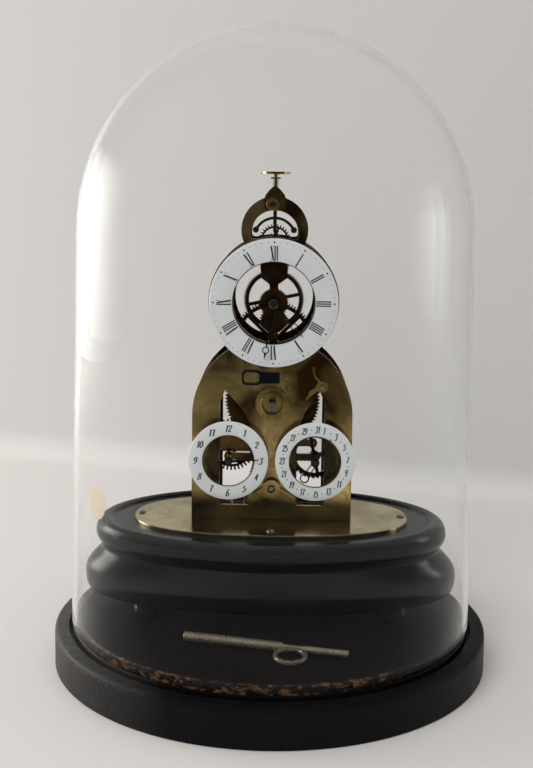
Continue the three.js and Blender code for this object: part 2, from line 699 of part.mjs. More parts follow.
// Rear cock with the arm, stem and cross bar that carry the silk and the rating disc
function suspensionCock() {
  const y0 = rearBack + GAP;
  const y1 = y0 + cock.thickness;
  const s = suspension;
  const body = slab(polygon(ogive()), y0, y1);
  const arm = box(-s.armHalf, s.armHalf, y1 - cock.thickness / 2, s.armEnd, armFoot, armFoot + s.armHeight);
  const stemTop = discFoot + ratingDisc.thickness / 2;
  const stem = turnedZ(
    [
      [0, armFoot + s.armHeight / 2], [s.stemRadius, armFoot + s.armHeight / 2],
      [s.stemRadius, stemTop - GAP], [0, stemTop - GAP],
    ],
    0, pendulum.plane, sides.small,
  );
  const half = s.crossThickness / 2;
  const cross = box(
    -s.crossHalf, s.crossHalf, pendulum.plane - half, pendulum.plane + half, crossHeight - half,
    crossHeight + half,
  );
  const hole = rod(anchor.arbor + GAP, y0 - OVERRUN, y1 + OVERRUN, 0, palletHeight, sides.tiny);
  const threads = [-1, 1].map((sign) =>
    box(
      sign * silk.halfGap - silk.radius - GAP, sign * silk.halfGap + silk.radius + GAP,
      pendulum.plane - silk.radius - GAP, pendulum.plane + silk.radius + GAP,
      armFoot - OVERRUN, armFoot + s.armHeight + OVERRUN,
    ),
  );
  return cut(join(body, arm, stem, cross), hole, ...threads);
}

// Silk thread: a loop that hangs from the cross bar and turns up under the pendulum's pin
function silkLoop() {
  const top = crossHeight - suspension.crossThickness / 2 - GAP;
  const turn = palletHeight - pendulum.pinDrop + silk.radius;
  const path = new THREE.CurvePath();
  const at = (x, z) => new THREE.Vector3(x, pendulum.plane, z);
  const points = [
    at(-silk.halfGap, top),
    at(-silk.halfGap, turn),
    ...arc(0, turn, silk.halfGap, TURN / 2, TURN, 6).slice(1, -1).map(([x, z]) => at(x, z)),
    at(silk.halfGap, turn),
    at(silk.halfGap, top),
  ];
  for (let i = 0; i + 1 < points.length; i += 1) path.add(new THREE.LineCurve3(points[i], points[i + 1]));
  const section = new THREE.Shape();
  section.absarc(0, 0, silk.radius, 0, TURN);
  return new THREE.ExtrudeGeometry(
    section, { extrudePath: path, steps: 20, curveSegments: 2, bevelEnabled: false },
  );
}

// Round disc on top of the suspension, with the hub that turns on the stem
function ratingDiscBody() {
  const d = ratingDisc;
  const top = discFoot + d.thickness;
  const bore = suspension.stemRadius + GAP;
  const mid = discFoot + d.thickness / 2;
  const section = [
    [bore, discFoot - d.hubLength], [d.hub, discFoot - d.hubLength], [d.hub, discFoot],
    [d.radius, discFoot], [d.radius, top], [0, top], [0, mid], [bore, mid],
    [bore, discFoot - d.hubLength],
  ];
  return turnedZ(section, 0, pendulum.plane, sides.drum);
}

// A turned arbor with its two pivots
function arbor(x, z, y0, y1, radius = arborRadius) {
  const [p, l] = [pivot.radius, pivot.length];
  const section = [
    [0, y0], [p, y0], [p, y0 + l], [radius, y0 + l], [radius, y1 - l], [p, y1 - l], [p, y1], [0, y1],
  ];
  return turnedY(section, x, z, sides.tiny);
}

// Ends of the pivots, most of the way through each plate
const inFront = frontBack - plates.thickness * 0.8;
const inRear = rearFront + plates.thickness * 0.8;

// A toothed wheel with arms, a hub and a bore for its arbor
function wheel({
  toothing, x, z, phase, front, thickness, rim = 0, arms = 0, armWidth = armBreadth, hub = hubRadius,
  bore, turn = 0,
}) {
  const shape = toothedOutline(toothing, x, z, phase);
  if (arms) crossings(shape, x, z, toothing.root - rim, hub, arms, armWidth, turn);
  shape.holes.push(roundHole(x, z, bore, sides.tiny));
  return slab(shape, front, front + thickness);
}

const leaves = (toothing, x, z, phase, front, length) => slab(
  toothedOutline(toothing, x, z, phase), front, front + length,
);
const pinionRadius = (wheelRadius, wheelCount, pinionCount) => (wheelRadius * pinionCount) / wheelCount;

// Centres that follow from the wheels in mesh
const interHeight = great.height + great.pitchRadius * (1 + intermediate.pinion / great.teeth);
const interPitch = (plates.dialHeight - interHeight) / (1 + centre.pinion / intermediate.teeth);
const thirdHeight = plates.dialHeight + centre.pitchRadius * (1 + third.pinion / centre.teeth);
const minutePitch = motion.hourPitch * (1 + motion.minutePinion / motion.hourTeeth)
  / (1 + motion.cannon / motion.minuteTeeth);
const minuteHeight = plates.dialHeight - motion.hourPitch * (1 + motion.minutePinion / motion.hourTeeth);
const thirdToFourth = third.pitchRadius * (1 + fourth.pinion / third.teeth);
const fourthToEscape = fourth.pitchRadius * (1 + escape.pinion / fourth.teeth);
const escapeHeight = thirdHeight + escape.riseShare * (thirdToFourth + fourthToEscape);
const palletHeight = escapeHeight + anchor.pivotRise;
const padHeight = escapeHeight + anchor.padRise;
const arcHeight = escapeHeight + anchor.arcRise;
const ringHeight = escapeHeight + plates.ringRise;
const ringOpeningTop = escapeHeight + plates.ringOpeningRise;
const armFoot = palletHeight + suspension.armRise;
const crossHeight = palletHeight + silk.crossRise;
const discFoot = palletHeight + ratingDisc.rise;
const bobHeight = palletHeight - pendulum.bobDrop;
const [fourthX, fourthHeight] = crossing(thirdHeight, thirdToFourth, escapeHeight, fourthToEscape);
const polar = (x, z, distance, angle) => [x + distance * Math.cos(angle), z + distance * Math.sin(angle)];
const secondReach = alarm.pitchRadius * (1 + alarmSecond.pinion / alarm.teeth);
const [secondX, secondHeight] = polar(0, alarm.height, secondReach, rad(alarmSecond.angle));
const escapeReach = alarmSecond.pitchRadius * (1 + alarmEscape.pinion / alarmSecond.teeth);
const [alarmEscapeX, alarmEscapeHeight] = polar(secondX, secondHeight, escapeReach, rad(alarmEscape.angle));
const hammerX = alarmEscapeX - hammer.offset;

// Toothing of every wheel and pinion in mesh
const greatTeeth = meshing(great.teeth, great.pitchRadius, innerTeeth);
const interPinion = meshing(
  intermediate.pinion, pinionRadius(great.pitchRadius, great.teeth, intermediate.pinion), pinionTeeth,
);
const interTeeth = meshing(intermediate.teeth, interPitch, innerTeeth);
const centrePinion = meshing(
  centre.pinion, pinionRadius(interPitch, intermediate.teeth, centre.pinion), pinionTeeth,
);
const centreTeeth = meshing(centre.teeth, centre.pitchRadius, wheelTeeth);
const thirdPinion = meshing(
  third.pinion, pinionRadius(centre.pitchRadius, centre.teeth, third.pinion), pinionTeeth,
);
const thirdTeeth = meshing(third.teeth, third.pitchRadius, innerTeeth);
const fourthPinion = meshing(
  fourth.pinion, pinionRadius(third.pitchRadius, third.teeth, fourth.pinion), pinionTeeth,
);
const fourthTeeth = meshing(fourth.teeth, fourth.pitchRadius, innerTeeth);
const escapePinion = meshing(
  escape.pinion, pinionRadius(fourth.pitchRadius, fourth.teeth, escape.pinion), pinionTeeth,
);
const cannonTeeth = meshing(
  motion.cannon, pinionRadius(minutePitch, motion.minuteTeeth, motion.cannon), pinionTeeth,
);
const minuteTeeth = meshing(motion.minuteTeeth, minutePitch, wheelTeeth);
const minutePinion = meshing(
  motion.minutePinion, pinionRadius(motion.hourPitch, motion.hourTeeth, motion.minutePinion),
  pinionTeeth,
);
const hourTeeth = meshing(motion.hourTeeth, motion.hourPitch, wheelTeeth);
const alarmTeeth = meshing(alarm.teeth, alarm.pitchRadius, innerTeeth);
const secondPinion = meshing(
  alarmSecond.pinion, pinionRadius(alarm.pitchRadius, alarm.teeth, alarmSecond.pinion), pinionTeeth,
);
const secondTeeth = meshing(alarmSecond.teeth, alarmSecond.pitchRadius, innerTeeth);
const alarmEscapePinion = meshing(
  alarmEscape.pinion, pinionRadius(
    alarmSecond.pitchRadius, alarmSecond.teeth, alarmEscape.pinion,
  ), pinionTeeth,
);

// Phases that set each pair in mesh at rest
const up = TURN / 4;
const greatPhase = 0;
const interPinionPhase = meshPhase(greatPhase, great.teeth, up, intermediate.pinion);
const centrePinionPhase = meshPhase(0, intermediate.teeth, up, centre.pinion);
const thirdPinionPhase = meshPhase(0, centre.teeth, up, third.pinion);
const toFourth = Math.atan2(fourthHeight - thirdHeight, fourthX);
const fourthPinionPhase = meshPhase(0, third.teeth, toFourth, fourth.pinion);
const toEscape = Math.atan2(escapeHeight - fourthHeight, -fourthX);
const escapePinionPhase = meshPhase(0, fourth.teeth, toEscape, escape.pinion);
const cannonPhase = meshPhase(0, motion.minuteTeeth, up, motion.cannon);
const minutePinionPhase = meshPhase(0, motion.hourTeeth, -up, motion.minutePinion);
const secondPinionPhase = meshPhase(0, alarm.teeth, rad(alarmSecond.angle), alarmSecond.pinion);
const alarmEscapePhase = meshPhase(0, alarmSecond.teeth, rad(alarmEscape.angle), alarmEscape.pinion);

// Great wheel with the spring barrel behind it
function greatWheel() {
  const drumFront = great.front + great.thickness;
  const rimWheel = wheel({
    toothing: greatTeeth, x: 0, z: great.height, phase: greatPhase, front: great.front,
    thickness: great.thickness, bore: great.arbor + GAP,
  });
  const [r, w, y0, y1] = [
    great.drumRadius, great.drumWall, drumFront - great.thickness / 2, drumFront + great.drumLength,
  ];
  const bore = great.arbor + GAP;
  const section = [[r - w, y0], [r, y0], [r, y1], [bore, y1], [bore, y1 - w], [r - w, y1 - w], [r - w, y0]];
  return join(rimWheel, turnedY(section, 0, great.height, sides.drum));
}

// Squared end of an arbor, for the key
function squareEnd(side, y0, y1, x, z) {
  return box(x - side / 2, x + side / 2, y0, y1, z - side / 2, z + side / 2);
}

function windingArbor() {
  const y0 = ratchetFront - ratchet.bossDepth - GAP;
  const body = arbor(0, great.height, y0, inRear, great.arbor);
  return join(body, squareEnd(square.side, y0 - square.length, y0 + GAP, 0, great.height));
}

const ratchetFront = onFront - ratchet.thickness;

// Ratchet wheel with its raised collar round the winding square
function ratchetWheel() {
  const toothing = {
    count: ratchet.teeth, tip: ratchet.radius, root: ratchet.root, footShare: 1, crestShare: 0,
    lean: 0.5,
  };
  const body = wheel({
    toothing, x: 0, z: great.height, phase: 0, front: ratchetFront, thickness: ratchet.thickness,
    bore: great.arbor + GAP,
  });
  const collar = ring(
    ratchet.bossRadius, ratchet.bossInner, ratchetFront - ratchet.bossDepth,
    ratchetFront + ratchet.thickness / 2, 0, great.height,
  );
  return join(body, collar);
}

function intermediateArbor() {
  const body = arbor(0, interHeight, inFront, inRear);
  return join(
    body,
    leaves(
      interPinion, 0, interHeight, interPinionPhase, intermediate.pinionFront,
      intermediate.pinionLength,
    ),
  );
}

const intermediateWheel = () => wheel({
  toothing: interTeeth, x: 0, z: interHeight, phase: 0, front: intermediate.front,
  thickness: intermediate.thickness,
  rim: intermediate.rim, arms: intermediate.arms, bore: arborRadius + GAP, turn: TURN / 8,
});

// Centre arbor: it carries the wheel, the cannon pinion and the minute hand, and ends in a round collet
function centreArbor() {
  const y0 = hand.minutePlane - GAP;
  const y1 = rearBack + GAP + centreCock.thickness;
  const r = centre.arbor;
  const collet = turnedY(
    [
      [0, y0 - centre.colletDepth], [centre.collet * 0.6, y0 - centre.colletDepth],
      [centre.collet, y0 - centre.colletDepth / 2], [centre.collet, y0], [0, y0],
    ],
    0, plates.dialHeight, sides.drum,
  );
  const body = rod(r, y0 - centre.colletDepth / 2, y1, 0, plates.dialHeight);
  return join(
    body, collet,
    leaves(centrePinion, 0, plates.dialHeight, centrePinionPhase, centre.pinionFront, centre.pinionLength),
  );
}

const centreWheel = () => wheel({
  toothing: centreTeeth, x: 0, z: plates.dialHeight, phase: 0, front: centre.front,
  thickness: centre.thickness,
  rim: centre.rim, arms: centre.arms, bore: centre.arbor + GAP, turn: rad(centre.turn),
});

function cannonPinion() {
  const bore = holeOf(arc(
    0, plates.dialHeight, centre.arbor + GAP, TURN, TURN / sides.small, sides.small - 1,
  ));
  const shape = toothedOutline(cannonTeeth, 0, plates.dialHeight, cannonPhase);
  shape.holes.push(bore);
  return slab(shape, motion.cannonFront, motion.cannonFront + motion.cannonLength);
}

function minuteWheel() {
  const shape = toothedOutline(minuteTeeth, 0, minuteHeight, 0);
  const bore = motion.studRadius + GAP;
  const pinionShape = toothedOutline(minutePinion, 0, minuteHeight, minutePinionPhase);
  const body = join(
    slab(shape, motion.minuteFront, motion.minuteFront + motion.thickness),
    slab(pinionShape, motion.hourFront, motion.minuteFront + motion.thickness / 2),
  );
  return cut(
    body,
    rod(
      bore, motion.hourFront - OVERRUN, motion.minuteFront + motion.thickness + OVERRUN, 0,
      minuteHeight, sides.tiny,
    ),
  );
}

// Hour wheel with the pipe that carries the hour hand
function hourWheel() {
  const bore = centre.arbor + GAP;
  const body = slab(
    toothedOutline(hourTeeth, 0, plates.dialHeight, 0), motion.hourFront,
    motion.hourFront + motion.thickness,
  );
  const pipe = rod(
    motion.pipe, hand.hourPlane - GAP, motion.hourFront + motion.thickness / 2, 0, plates.dialHeight,
  );
  const y0 = hand.hourPlane - OVERRUN;
  return cut(
    join(body, pipe),
    rod(bore, y0, motion.hourFront + motion.thickness + OVERRUN, 0, plates.dialHeight),
  );
}

function thirdArbor() {
  const body = arbor(0, thirdHeight, onFront - centreCock.thickness, rearBack + GAP + centreCock.thickness);
  return join(
    body,
    leaves(thirdPinion, 0, thirdHeight, thirdPinionPhase, third.pinionFront, third.pinionLength),
  );
}

const thirdWheel = () => wheel({
  toothing: thirdTeeth, x: 0, z: thirdHeight, phase: 0, front: third.front,
  thickness: third.thickness, bore: arborRadius + GAP,
});

// Fourth wheel, in one piece with its arbor and pinion
function fourthWheel() {
  const body = arbor(fourthX, fourthHeight, inFront, inRear);
  const pinion = leaves(
    fourthPinion, fourthX, fourthHeight, fourthPinionPhase, fourth.pinionFront, fourth.pinionLength,
  );
  return join(
    body, pinion,
    slab(
      toothedOutline(fourthTeeth, fourthX, fourthHeight, 0), fourth.front,
      fourth.front + fourth.thickness,
    ),
  );
}

function escapeArbor() {
  const body = arbor(0, escapeHeight, inFront, inRear);
  return join(
    body,
    leaves(escapePinion, 0, escapeHeight, escapePinionPhase, escape.pinionFront, escape.pinionLength),
  );
}

function escapeWheel() {
  const toothing = {
    count: escape.teeth, tip: escape.tip, root: escape.root, footShare: escape.footShare,
    crestShare: 0, lean: escape.lean,
  };
  return wheel({
    toothing, x: 0, z: escapeHeight, phase: up, front: escape.front, thickness: escape.thickness,
    rim: escape.rim, arms: escape.arms, armWidth: escape.armWidth, hub: escape.hub,
    bore: arborRadius + GAP, turn: TURN / 8 + 0.5,
  });
}

// Anchor: arc with two round pads, carried by a flat strip on the pallet arbor
function anchorBody() {
  const a = anchor;
  const top = a.front + a.thickness;
  const half = a.arcWidth / 2;
  const reach = Math.atan2(padHeight - arcHeight, a.padX);
  const outer = arc(0, arcHeight, a.arcRadius + half, reach, TURN / 2 - reach, 12);
  const inner = arc(0, arcHeight, a.arcRadius - half, TURN / 2 - reach, reach, 12);
  const bow = slab(polygon([...outer, ...inner]), a.front, top);
  const pads = [-1, 1].map((sign) => rod(a.padRadius, a.front, top, sign * a.padX, padHeight, sides.small));
  const stripBack = a.front + a.thickness * 0.2;
  const strip = box(
    -a.stripWidth / 2, a.stripWidth / 2, a.front - a.stripThickness, stripBack,
    escapeHeight + a.stripRise, palletHeight,
  );
  const staff = arbor(
    0, palletHeight, onFront - cock.thickness - cock.bossLength * 0.8,
    crutch.front + crutch.thickness, a.arbor,
  );
  return join(bow, ...pads, strip, staff);
}

// Crutch behind the plates: it hangs from the pallet arbor and its fork takes the pendulum rod
function crutchBody() {
  const c = crutch;
  const back = c.front + c.thickness;
  const half = c.width / 2;
  const foot = palletHeight - c.drop;
  const bar = box(-half, half, c.front, back, foot, palletHeight);
  const collar = rod(c.collar, c.front, back, 0, palletHeight, sides.small);
  const inner = pendulum.rodRadius + GAP;
  const end = pendulum.plane + pendulum.rodRadius;
  const tines = [-1, 1].map((sign) => {
    const [x0, x1] = [sign * inner, sign * (inner + c.forkWall)].sort((p, q) => p - q);
    return box(x0, x1, c.front, end, foot, foot + c.forkHeight);
  });
  const base = box(-inner - c.forkWall, inner + c.forkWall, c.front, back, foot, foot + c.forkHeight);
  const hole = rod(pivot.radius + GAP, c.front - OVERRUN, back + OVERRUN, 0, palletHeight, sides.tiny);
  return cut(join(bar, collar, base, ...tines), hole);
}

// Pendulum rod, with the cross pin that rides in the silk
function pendulumRod() {
  const pinHeight = palletHeight - pendulum.pinDrop;
  const foot = bobHeight - pendulum.bobRadius - pendulum.pinLength;
  const r = pendulum.rodRadius;
  const rodBody = turnedZ(
    [[0, foot], [r, foot], [r, pinHeight - GAP], [0, pinHeight - GAP]], 0, pendulum.plane, sides.tiny,
  );
  const pin = rod(
    pendulum.pinRadius, pendulum.plane - pendulum.pinLength / 2,
    pendulum.plane + pendulum.pinLength / 2, 0, pinHeight, sides.tiny,
  );
  const y = pendulum.pinLength / 2;
  const yokeHalf = pendulum.pinRadius;
  const drop = pinHeight - silk.halfGap - pendulum.pinLength * 0.5;
  const cheeks = [-1, 1].map((sign) =>
    box(
      -yokeHalf, yokeHalf, pendulum.plane + sign * y - yokeHalf / 2,
      pendulum.plane + sign * y + yokeHalf / 2, drop, pinHeight + yokeHalf,
    ),
  );
  const bridgeBar = box(-yokeHalf, yokeHalf, pendulum.plane - y, pendulum.plane + y, drop - yokeHalf, drop);
  const cutter = box(
    -OVERRUN, OVERRUN, pendulum.plane - y + yokeHalf, pendulum.plane + y - yokeHalf, drop,
    pinHeight - pendulum.pinRadius * 0.8,
  );
  return join(cut(rodBody, cutter), pin, ...cheeks, bridgeBar);
}

// Lens-shaped bob, bored for its rod
function pendulumBob() {
  const [r, t] = [pendulum.bobRadius, pendulum.bobThickness / 2];
  const y = pendulum.plane;
  const section = [
    [0, y - t], [r * 0.55, y - t * 0.86], [r * 0.9, y - t * 0.45], [r, y], [r * 0.9, y + t * 0.45],
    [r * 0.55, y + t * 0.86], [0, y + t],
  ];
  const body = turnedY(section, 0, bobHeight, sides.drum);
  const bore = turnedZ(
    [
      [0, bobHeight - 2 * r], [pendulum.rodRadius + GAP, bobHeight - 2 * r],
      [pendulum.rodRadius + GAP, bobHeight + 2 * r], [0, bobHeight + 2 * r],
    ],
    0, y, sides.tiny,
  );
  return cut(body, bore);
}

// An enamelled dial ring with the feet that stand on the front plate
function dialRing(x, z, radius, inner, footCircle, angles, count) {
  const back = dial.front + dial.thickness;
  const feet = angles.map((angle) =>
    rod(
      dial.footRadius, back - dial.thickness / 2, onFront, x + footCircle * Math.cos(angle),
      z + footCircle * Math.sin(angle), sides.tiny,
    ),
  );
  return join(ring(radius, inner, dial.front, back, x, z, count), ...feet);
}

const mainDial = () => {
  const angles = [TURN / 12, (TURN * 5) / 12, (TURN * 9) / 12];
  return dialRing(0, plates.dialHeight, dial.radius, dial.inner, dial.footCircle, angles, sides.dial);
};

const sideDial = (sign) => {
  const angles = [TURN * 0.11, TURN * 0.39].map((angle) => -angle).concat(sign > 0 ? 0 : TURN / 2);
  return dialRing(
    sign * subDial.x, subDial.height, subDial.radius, subDial.inner, subDial.footCircle, angles,
    sides.plate,
  );
};

// A moon hand that points up before it is turned: hub ring, tapering blade, open moon and tip
function moonHand(spec, y0, bore) {
  const z0 = plates.dialHeight;
  const y1 = y0 + hand.thickness;
  const lowBlade = polygon([
    [-spec.root, z0 + spec.hub - GAP], [spec.root, z0 + spec.hub - GAP],
    [spec.tip, z0 + spec.moon - spec.moonRadius + GAP], [-spec.tip, z0 + spec.moon - spec.moonRadius + GAP],
  ]);
  const start = z0 + spec.moon + spec.moonRadius - GAP;
  const point = polygon([[-spec.root * 0.9, start], [spec.root * 0.9, start], [0, z0 + spec.length]]);
  const moon = ring(spec.moonRadius, spec.moonRadius - hand.wall, y0, y1, 0, z0 + spec.moon, sides.small);
  const hub = ring(spec.hub, bore, y0, y1, 0, z0, sides.small);
  return turnAboutY(join(slab(lowBlade, y0, y1), slab(point, y0, y1), moon, hub), spec.angle, 0, z0);
}

// Turns a piece clockwise, seen from the front, about a Y axis through (x, z)
function turnAboutY(geometry, degrees, x, z) {
  return geometry.translate(-x, 0, -z).rotateY(rad(degrees)).translate(x, 0, z);
}

// Blade and hub of a small dial's hand
function sideHandBlade(spec, x, bore) {
  const z0 = subDial.height;
  const [y0, y1] = [hand.hourPlane, hand.hourPlane + hand.thickness];
  const blade = polygon([
    [x - spec.root, z0 + spec.hub - GAP], [x + spec.root, z0 + spec.hub - GAP], [
      x + spec.tip, z0 + spec.length,
    ], [x - spec.tip, z0 + spec.length],
  ]);
  const hub = ring(spec.hub, bore, y0, y1, x, z0, sides.small);
  return [slab(blade, y0, y1), hub];
}

function alarmHandBody() {
  const x = -subDial.x;
  const [y0, y1] = [hand.hourPlane, hand.hourPlane + hand.thickness];
  const tail = polygon([
    [x - alarmHand.tip, subDial.height - alarmHand.tail], [
      x + alarmHand.tip, subDial.height - alarmHand.tail,
    ],
    [x + alarmHand.root, subDial.height - alarmHand.hub + GAP], [
      x - alarmHand.root, subDial.height - alarmHand.hub + GAP,
    ],
  ]);
  return turnAboutY(
    join(...sideHandBlade(alarmHand, x, arborRadius + GAP), slab(tail, y0, y1)), alarmHand.angle, x,
    subDial.height,
  );
}

// Date hand: its tail is a double neck that ends in an open ring
function dateHandBody() {
  const x = subDial.x;
  const z0 = subDial.height;
  const [y0, y1] = [hand.hourPlane, hand.hourPlane + hand.thickness];
  const ringAt = z0 - dateHand.tail - dateHand.ringRadius;
  const necks = [-1, 1].map((sign) => {
    const middle = x + sign * dateHand.neck;
    const half = hand.wall / 2;
    return slab(
      polygon([
        [middle - half, ringAt + dateHand.ringRadius * 0.7], [
          middle + half, ringAt + dateHand.ringRadius * 0.7,
        ],
        [middle + half, z0 - dateHand.hub * 0.7], [middle - half, z0 - dateHand.hub * 0.7],
      ]),
      y0, y1,
    );
  });
  const eye = ring(
    dateHand.ringRadius, dateHand.ringRadius - hand.wall * 1.2, y0, y1, x, ringAt, sides.small,
  );
  return turnAboutY(
    join(...sideHandBlade(dateHand, x, arborRadius + GAP), ...necks, eye), dateHand.angle, x, z0,
  );
}

// Arbor of a small dial, from its hand back to the rear bar
function handArbor(x) {
  const y0 = hand.hourPlane - GAP;
  const head = turnedY(
    [[0, y0 - hand.thickness], [arborRadius, y0 - hand.thickness], [arborRadius * 2, y0], [0, y0]], x,
    subDial.height, sides.small,
  );
  return join(rod(arborRadius, y0 - GAP, rearBack + bar.thickness, x, subDial.height), head);
}

// Bar that crosses both windows and carries the small dials' arbors
function arborBar(y0) {
  const y1 = y0 + bar.thickness;
  const arm = box(
    -subDial.x, subDial.x, y0, y1, subDial.height - bar.halfHeight, subDial.height + bar.halfHeight,
  );
  const hubs = [-1, 1].map((sign) => rod(bar.hub, y0, y1, sign * subDial.x, subDial.height));
  const holes = [-1, 1].map((sign) => rod(
    arborRadius + GAP, y0 - OVERRUN, y1 + OVERRUN, sign * subDial.x, subDial.height,
  ));
  return cut(join(arm, ...hubs), ...holes);
}

// Date wheel with a ratchet tooth for each day, and the alarm setting wheel
function dateWheelBody() {
  const d = dateWheel;
  const toothing = { count: d.teeth, tip: d.tip, root: d.root, footShare: 1, crestShare: 0, lean: d.lean };
  return wheel({
    toothing, x: subDial.x, z: subDial.height, phase: 0, front: d.front, thickness: d.thickness,
    rim: d.rim, arms: d.arms,
    bore: arborRadius + GAP, turn: 0.2,
  });
}

function settingWheelBody() {
  const s = settingWheel;
  const toothing = { count: s.teeth, tip: s.tip, root: s.root, footShare: 0.7, crestShare: 0 };
  return wheel({
    toothing, x: -subDial.x, z: subDial.height, phase: 0, front: s.front, thickness: s.thickness,
    rim: s.rim, arms: s.arms,
    bore: arborRadius + GAP, turn: 0.4,
  });
}

// Click: a pivoted arm whose beak rests by the ratchet teeth, held by a shouldered screw
function clickBody() {
  const c = click;
  const [y0, y1] = [onFront - c.thickness, onFront];
  const half = c.width / 2;
  const body = slab(
    polygon([
      [c.x - half, clickHeight], [c.beakX - half * 0.4, beakHeight],
      [c.beakX + half * 0.6, beakHeight], [c.x + half * 1.6, clickHeight],
    ]),
    y0, y1,
  );
  const eye = rod(c.radius, y0, y1, c.x, clickHeight);
  return cut(
    join(body, eye), rod(c.screw / 2 + GAP, y0 - OVERRUN, y1 + OVERRUN, c.x, clickHeight, sides.tiny),
  );
}

// Shouldered screws on which the click and the date lever turn
function pivotScrews() {
  const screw = (x, z, radius, thickness) => {
    const y = onFront - thickness - GAP;
    return join(
      rod(radius / 2, y - GAP, plates.frontFace + GAP, x, z, sides.tiny),
      rod(radius, y - radius / 2, y, x, z, sides.small),
    );
  };
  return [
    screw(click.x, clickHeight, click.screw, click.thickness),
    screw(dateLever.x, leverHeight, dateLever.screw, dateLever.thickness),
  ];
}

// Blued click spring: a block above the ratchet and a closed loop beside it
function clickSpringBody() {
  const c = clickSpring;
  const [y0, y1] = [onFront - c.thickness, onFront];
  const block = box(
    c.blockX - c.blockHalfX, c.blockX + c.blockHalfX, y0, y1, blockHeight - c.blockHalfZ,
    blockHeight + c.blockHalfZ,
  );
  const oval = (inset, y2, y3) => {
    const [a, b] = [c.loopHalfX - inset, c.loopHalfZ - inset];
    const corner = (sx, sz, from) => arc(
      c.loopX + sx * (a - b * 0.6), blockHeight + sz * b * 0.4, b * 0.6, from, from + up, 3,
    );
    return slab(
      polygon([
        ...corner(1, 1, 0), ...corner(-1, 1, up), ...corner(-1, -1, 2 * up), ...corner(1, -1, 3 * up),
      ]),
      y2, y3,
    );
  };
  return join(block, cut(oval(0, y0, y1), oval(c.strip, y0 - OVERRUN, y1 + OVERRUN)));
}

// Date lever: a brass disc with a curved arm up behind the dial and a short leaf below
function dateLeverBody() {
  const d = dateLever;
  const [y0, y1] = [onFront - d.thickness, onFront];
  const half = d.strip / 2;
  const arm = new THREE.QuadraticBezierCurve(
    new THREE.Vector2(d.x, leverHeight + d.radius * 0.6),
    new THREE.Vector2(d.x + d.tailX * 1.2, leverHeight + d.tailZ * 0.5),
    new THREE.Vector2(d.x + d.tailX, leverHeight + d.tailZ),
  ).getPoints(5);
  const armShape = polygon([
    ...arm.map((v) => [v.x + half, v.y]), ...arm.slice().reverse().map((v) => [v.x - half, v.y]),
  ]);
  const leaf = polygon([
    [d.x - d.radius * 0.5, leverHeight + half], [d.x - d.radius * 0.5, leverHeight - half * 2],
    [d.x + d.armX, leverHeight + d.armZ], [d.x + d.armX * 0.8, leverHeight + d.armZ * 0.3],
  ]);
  const disc = rod(d.radius, y0, y1, d.x, leverHeight, sides.drum);
  const hole = rod(d.screw / 2 + GAP, y0 - OVERRUN, y1 + OVERRUN, d.x, leverHeight, sides.tiny);
  return cut(join(disc, slab(armShape, y0, y1), slab(leaf, y0, y1)), hole);
}

// Petal-shaped bridge in front of the alarm barrel arbor
function alarmBridge() {
  const b = bridge;
  const [y0, y1] = [onFront - b.thickness, onFront];
  const z0 = alarm.height;
  const petal = (sign) => rod(b.petalHalf, y0, y1, sign * b.petalX, z0 + b.petalZ, sides.drum);
  const web = (sign) => slab(
    polygon([
      [sign * b.neck, z0 + b.neck], [sign * b.bossRadius, z0],
      [sign * (b.petalX + b.petalHalf * 0.8), z0 + b.petalZ + b.petalHalf * 0.6], [
        sign * b.petalX, z0 + b.petalZ - b.petalHalf * 0.9,
      ],
      [sign * b.neck * 0.5, z0 - b.bossRadius * 0.6],
    ]),
    y0, y1,
  );
  const boss = rod(b.bossRadius, y1 - b.bossLength, y1, 0, z0, sides.drum);
  const hole = rod(b.bossHole, y1 - b.bossLength - OVERRUN, y1 + OVERRUN, 0, z0);
  return cut(join(boss, petal(-1), petal(1), web(-1), web(1)), hole);
}

// Alarm barrel, arbors, wheels and hammer
function alarmBarrel() {
  const a = alarm;
  const drumFront = a.front + a.thickness;
  const bore = a.arbor + GAP;
  const body = wheel({
    toothing: alarmTeeth, x: 0, z: a.height, phase: 0, front: a.front, thickness: a.thickness, bore,
  });
  const [r, w, y0, y1] = [a.drumRadius, a.drumWall, a.front + a.thickness / 2, drumFront + a.drumLength];
  const section = [[r - w, y0], [r, y0], [r, y1], [bore, y1], [bore, y1 - w], [r - w, y1 - w], [r - w, y0]];
  return join(body, turnedY(section, 0, a.height, sides.drum));
}

function alarmWindingArbor() {
  const y0 = onFront - bridge.bossLength * 0.4;
  const side = alarm.arbor * 1.7;
  return join(
    arbor(0, alarm.height, y0, inRear, alarm.arbor),
    squareEnd(side, y0 - bridge.bossLength * 0.5, y0 + GAP, 0, alarm.height),
  );
}

function alarmSecondBody() {
  const s = alarmSecond;
  const shape = toothedOutline(secondTeeth, secondX, secondHeight, 0);
  return join(
    arbor(secondX, secondHeight, inFront, inRear),
    leaves(secondPinion, secondX, secondHeight, secondPinionPhase, s.pinionFront, s.pinionLength),
    slab(shape, s.front, s.front + s.thickness),
  );
}

function alarmEscapeBody() {
  const e = alarmEscape;
  const toothing = { count: e.teeth, tip: e.tip, root: e.root, footShare: 0.8, crestShare: 0, lean: 0.3 };
  return join(
    arbor(alarmEscapeX, alarmEscapeHeight, inFront, inRear),
    leaves(
      alarmEscapePinion, alarmEscapeX, alarmEscapeHeight, alarmEscapePhase, e.pinionFront,
      e.pinionLength,
    ),
    slab(toothedOutline(toothing, alarmEscapeX, alarmEscapeHeight, 0), e.front, e.front + e.thickness),
  );
}

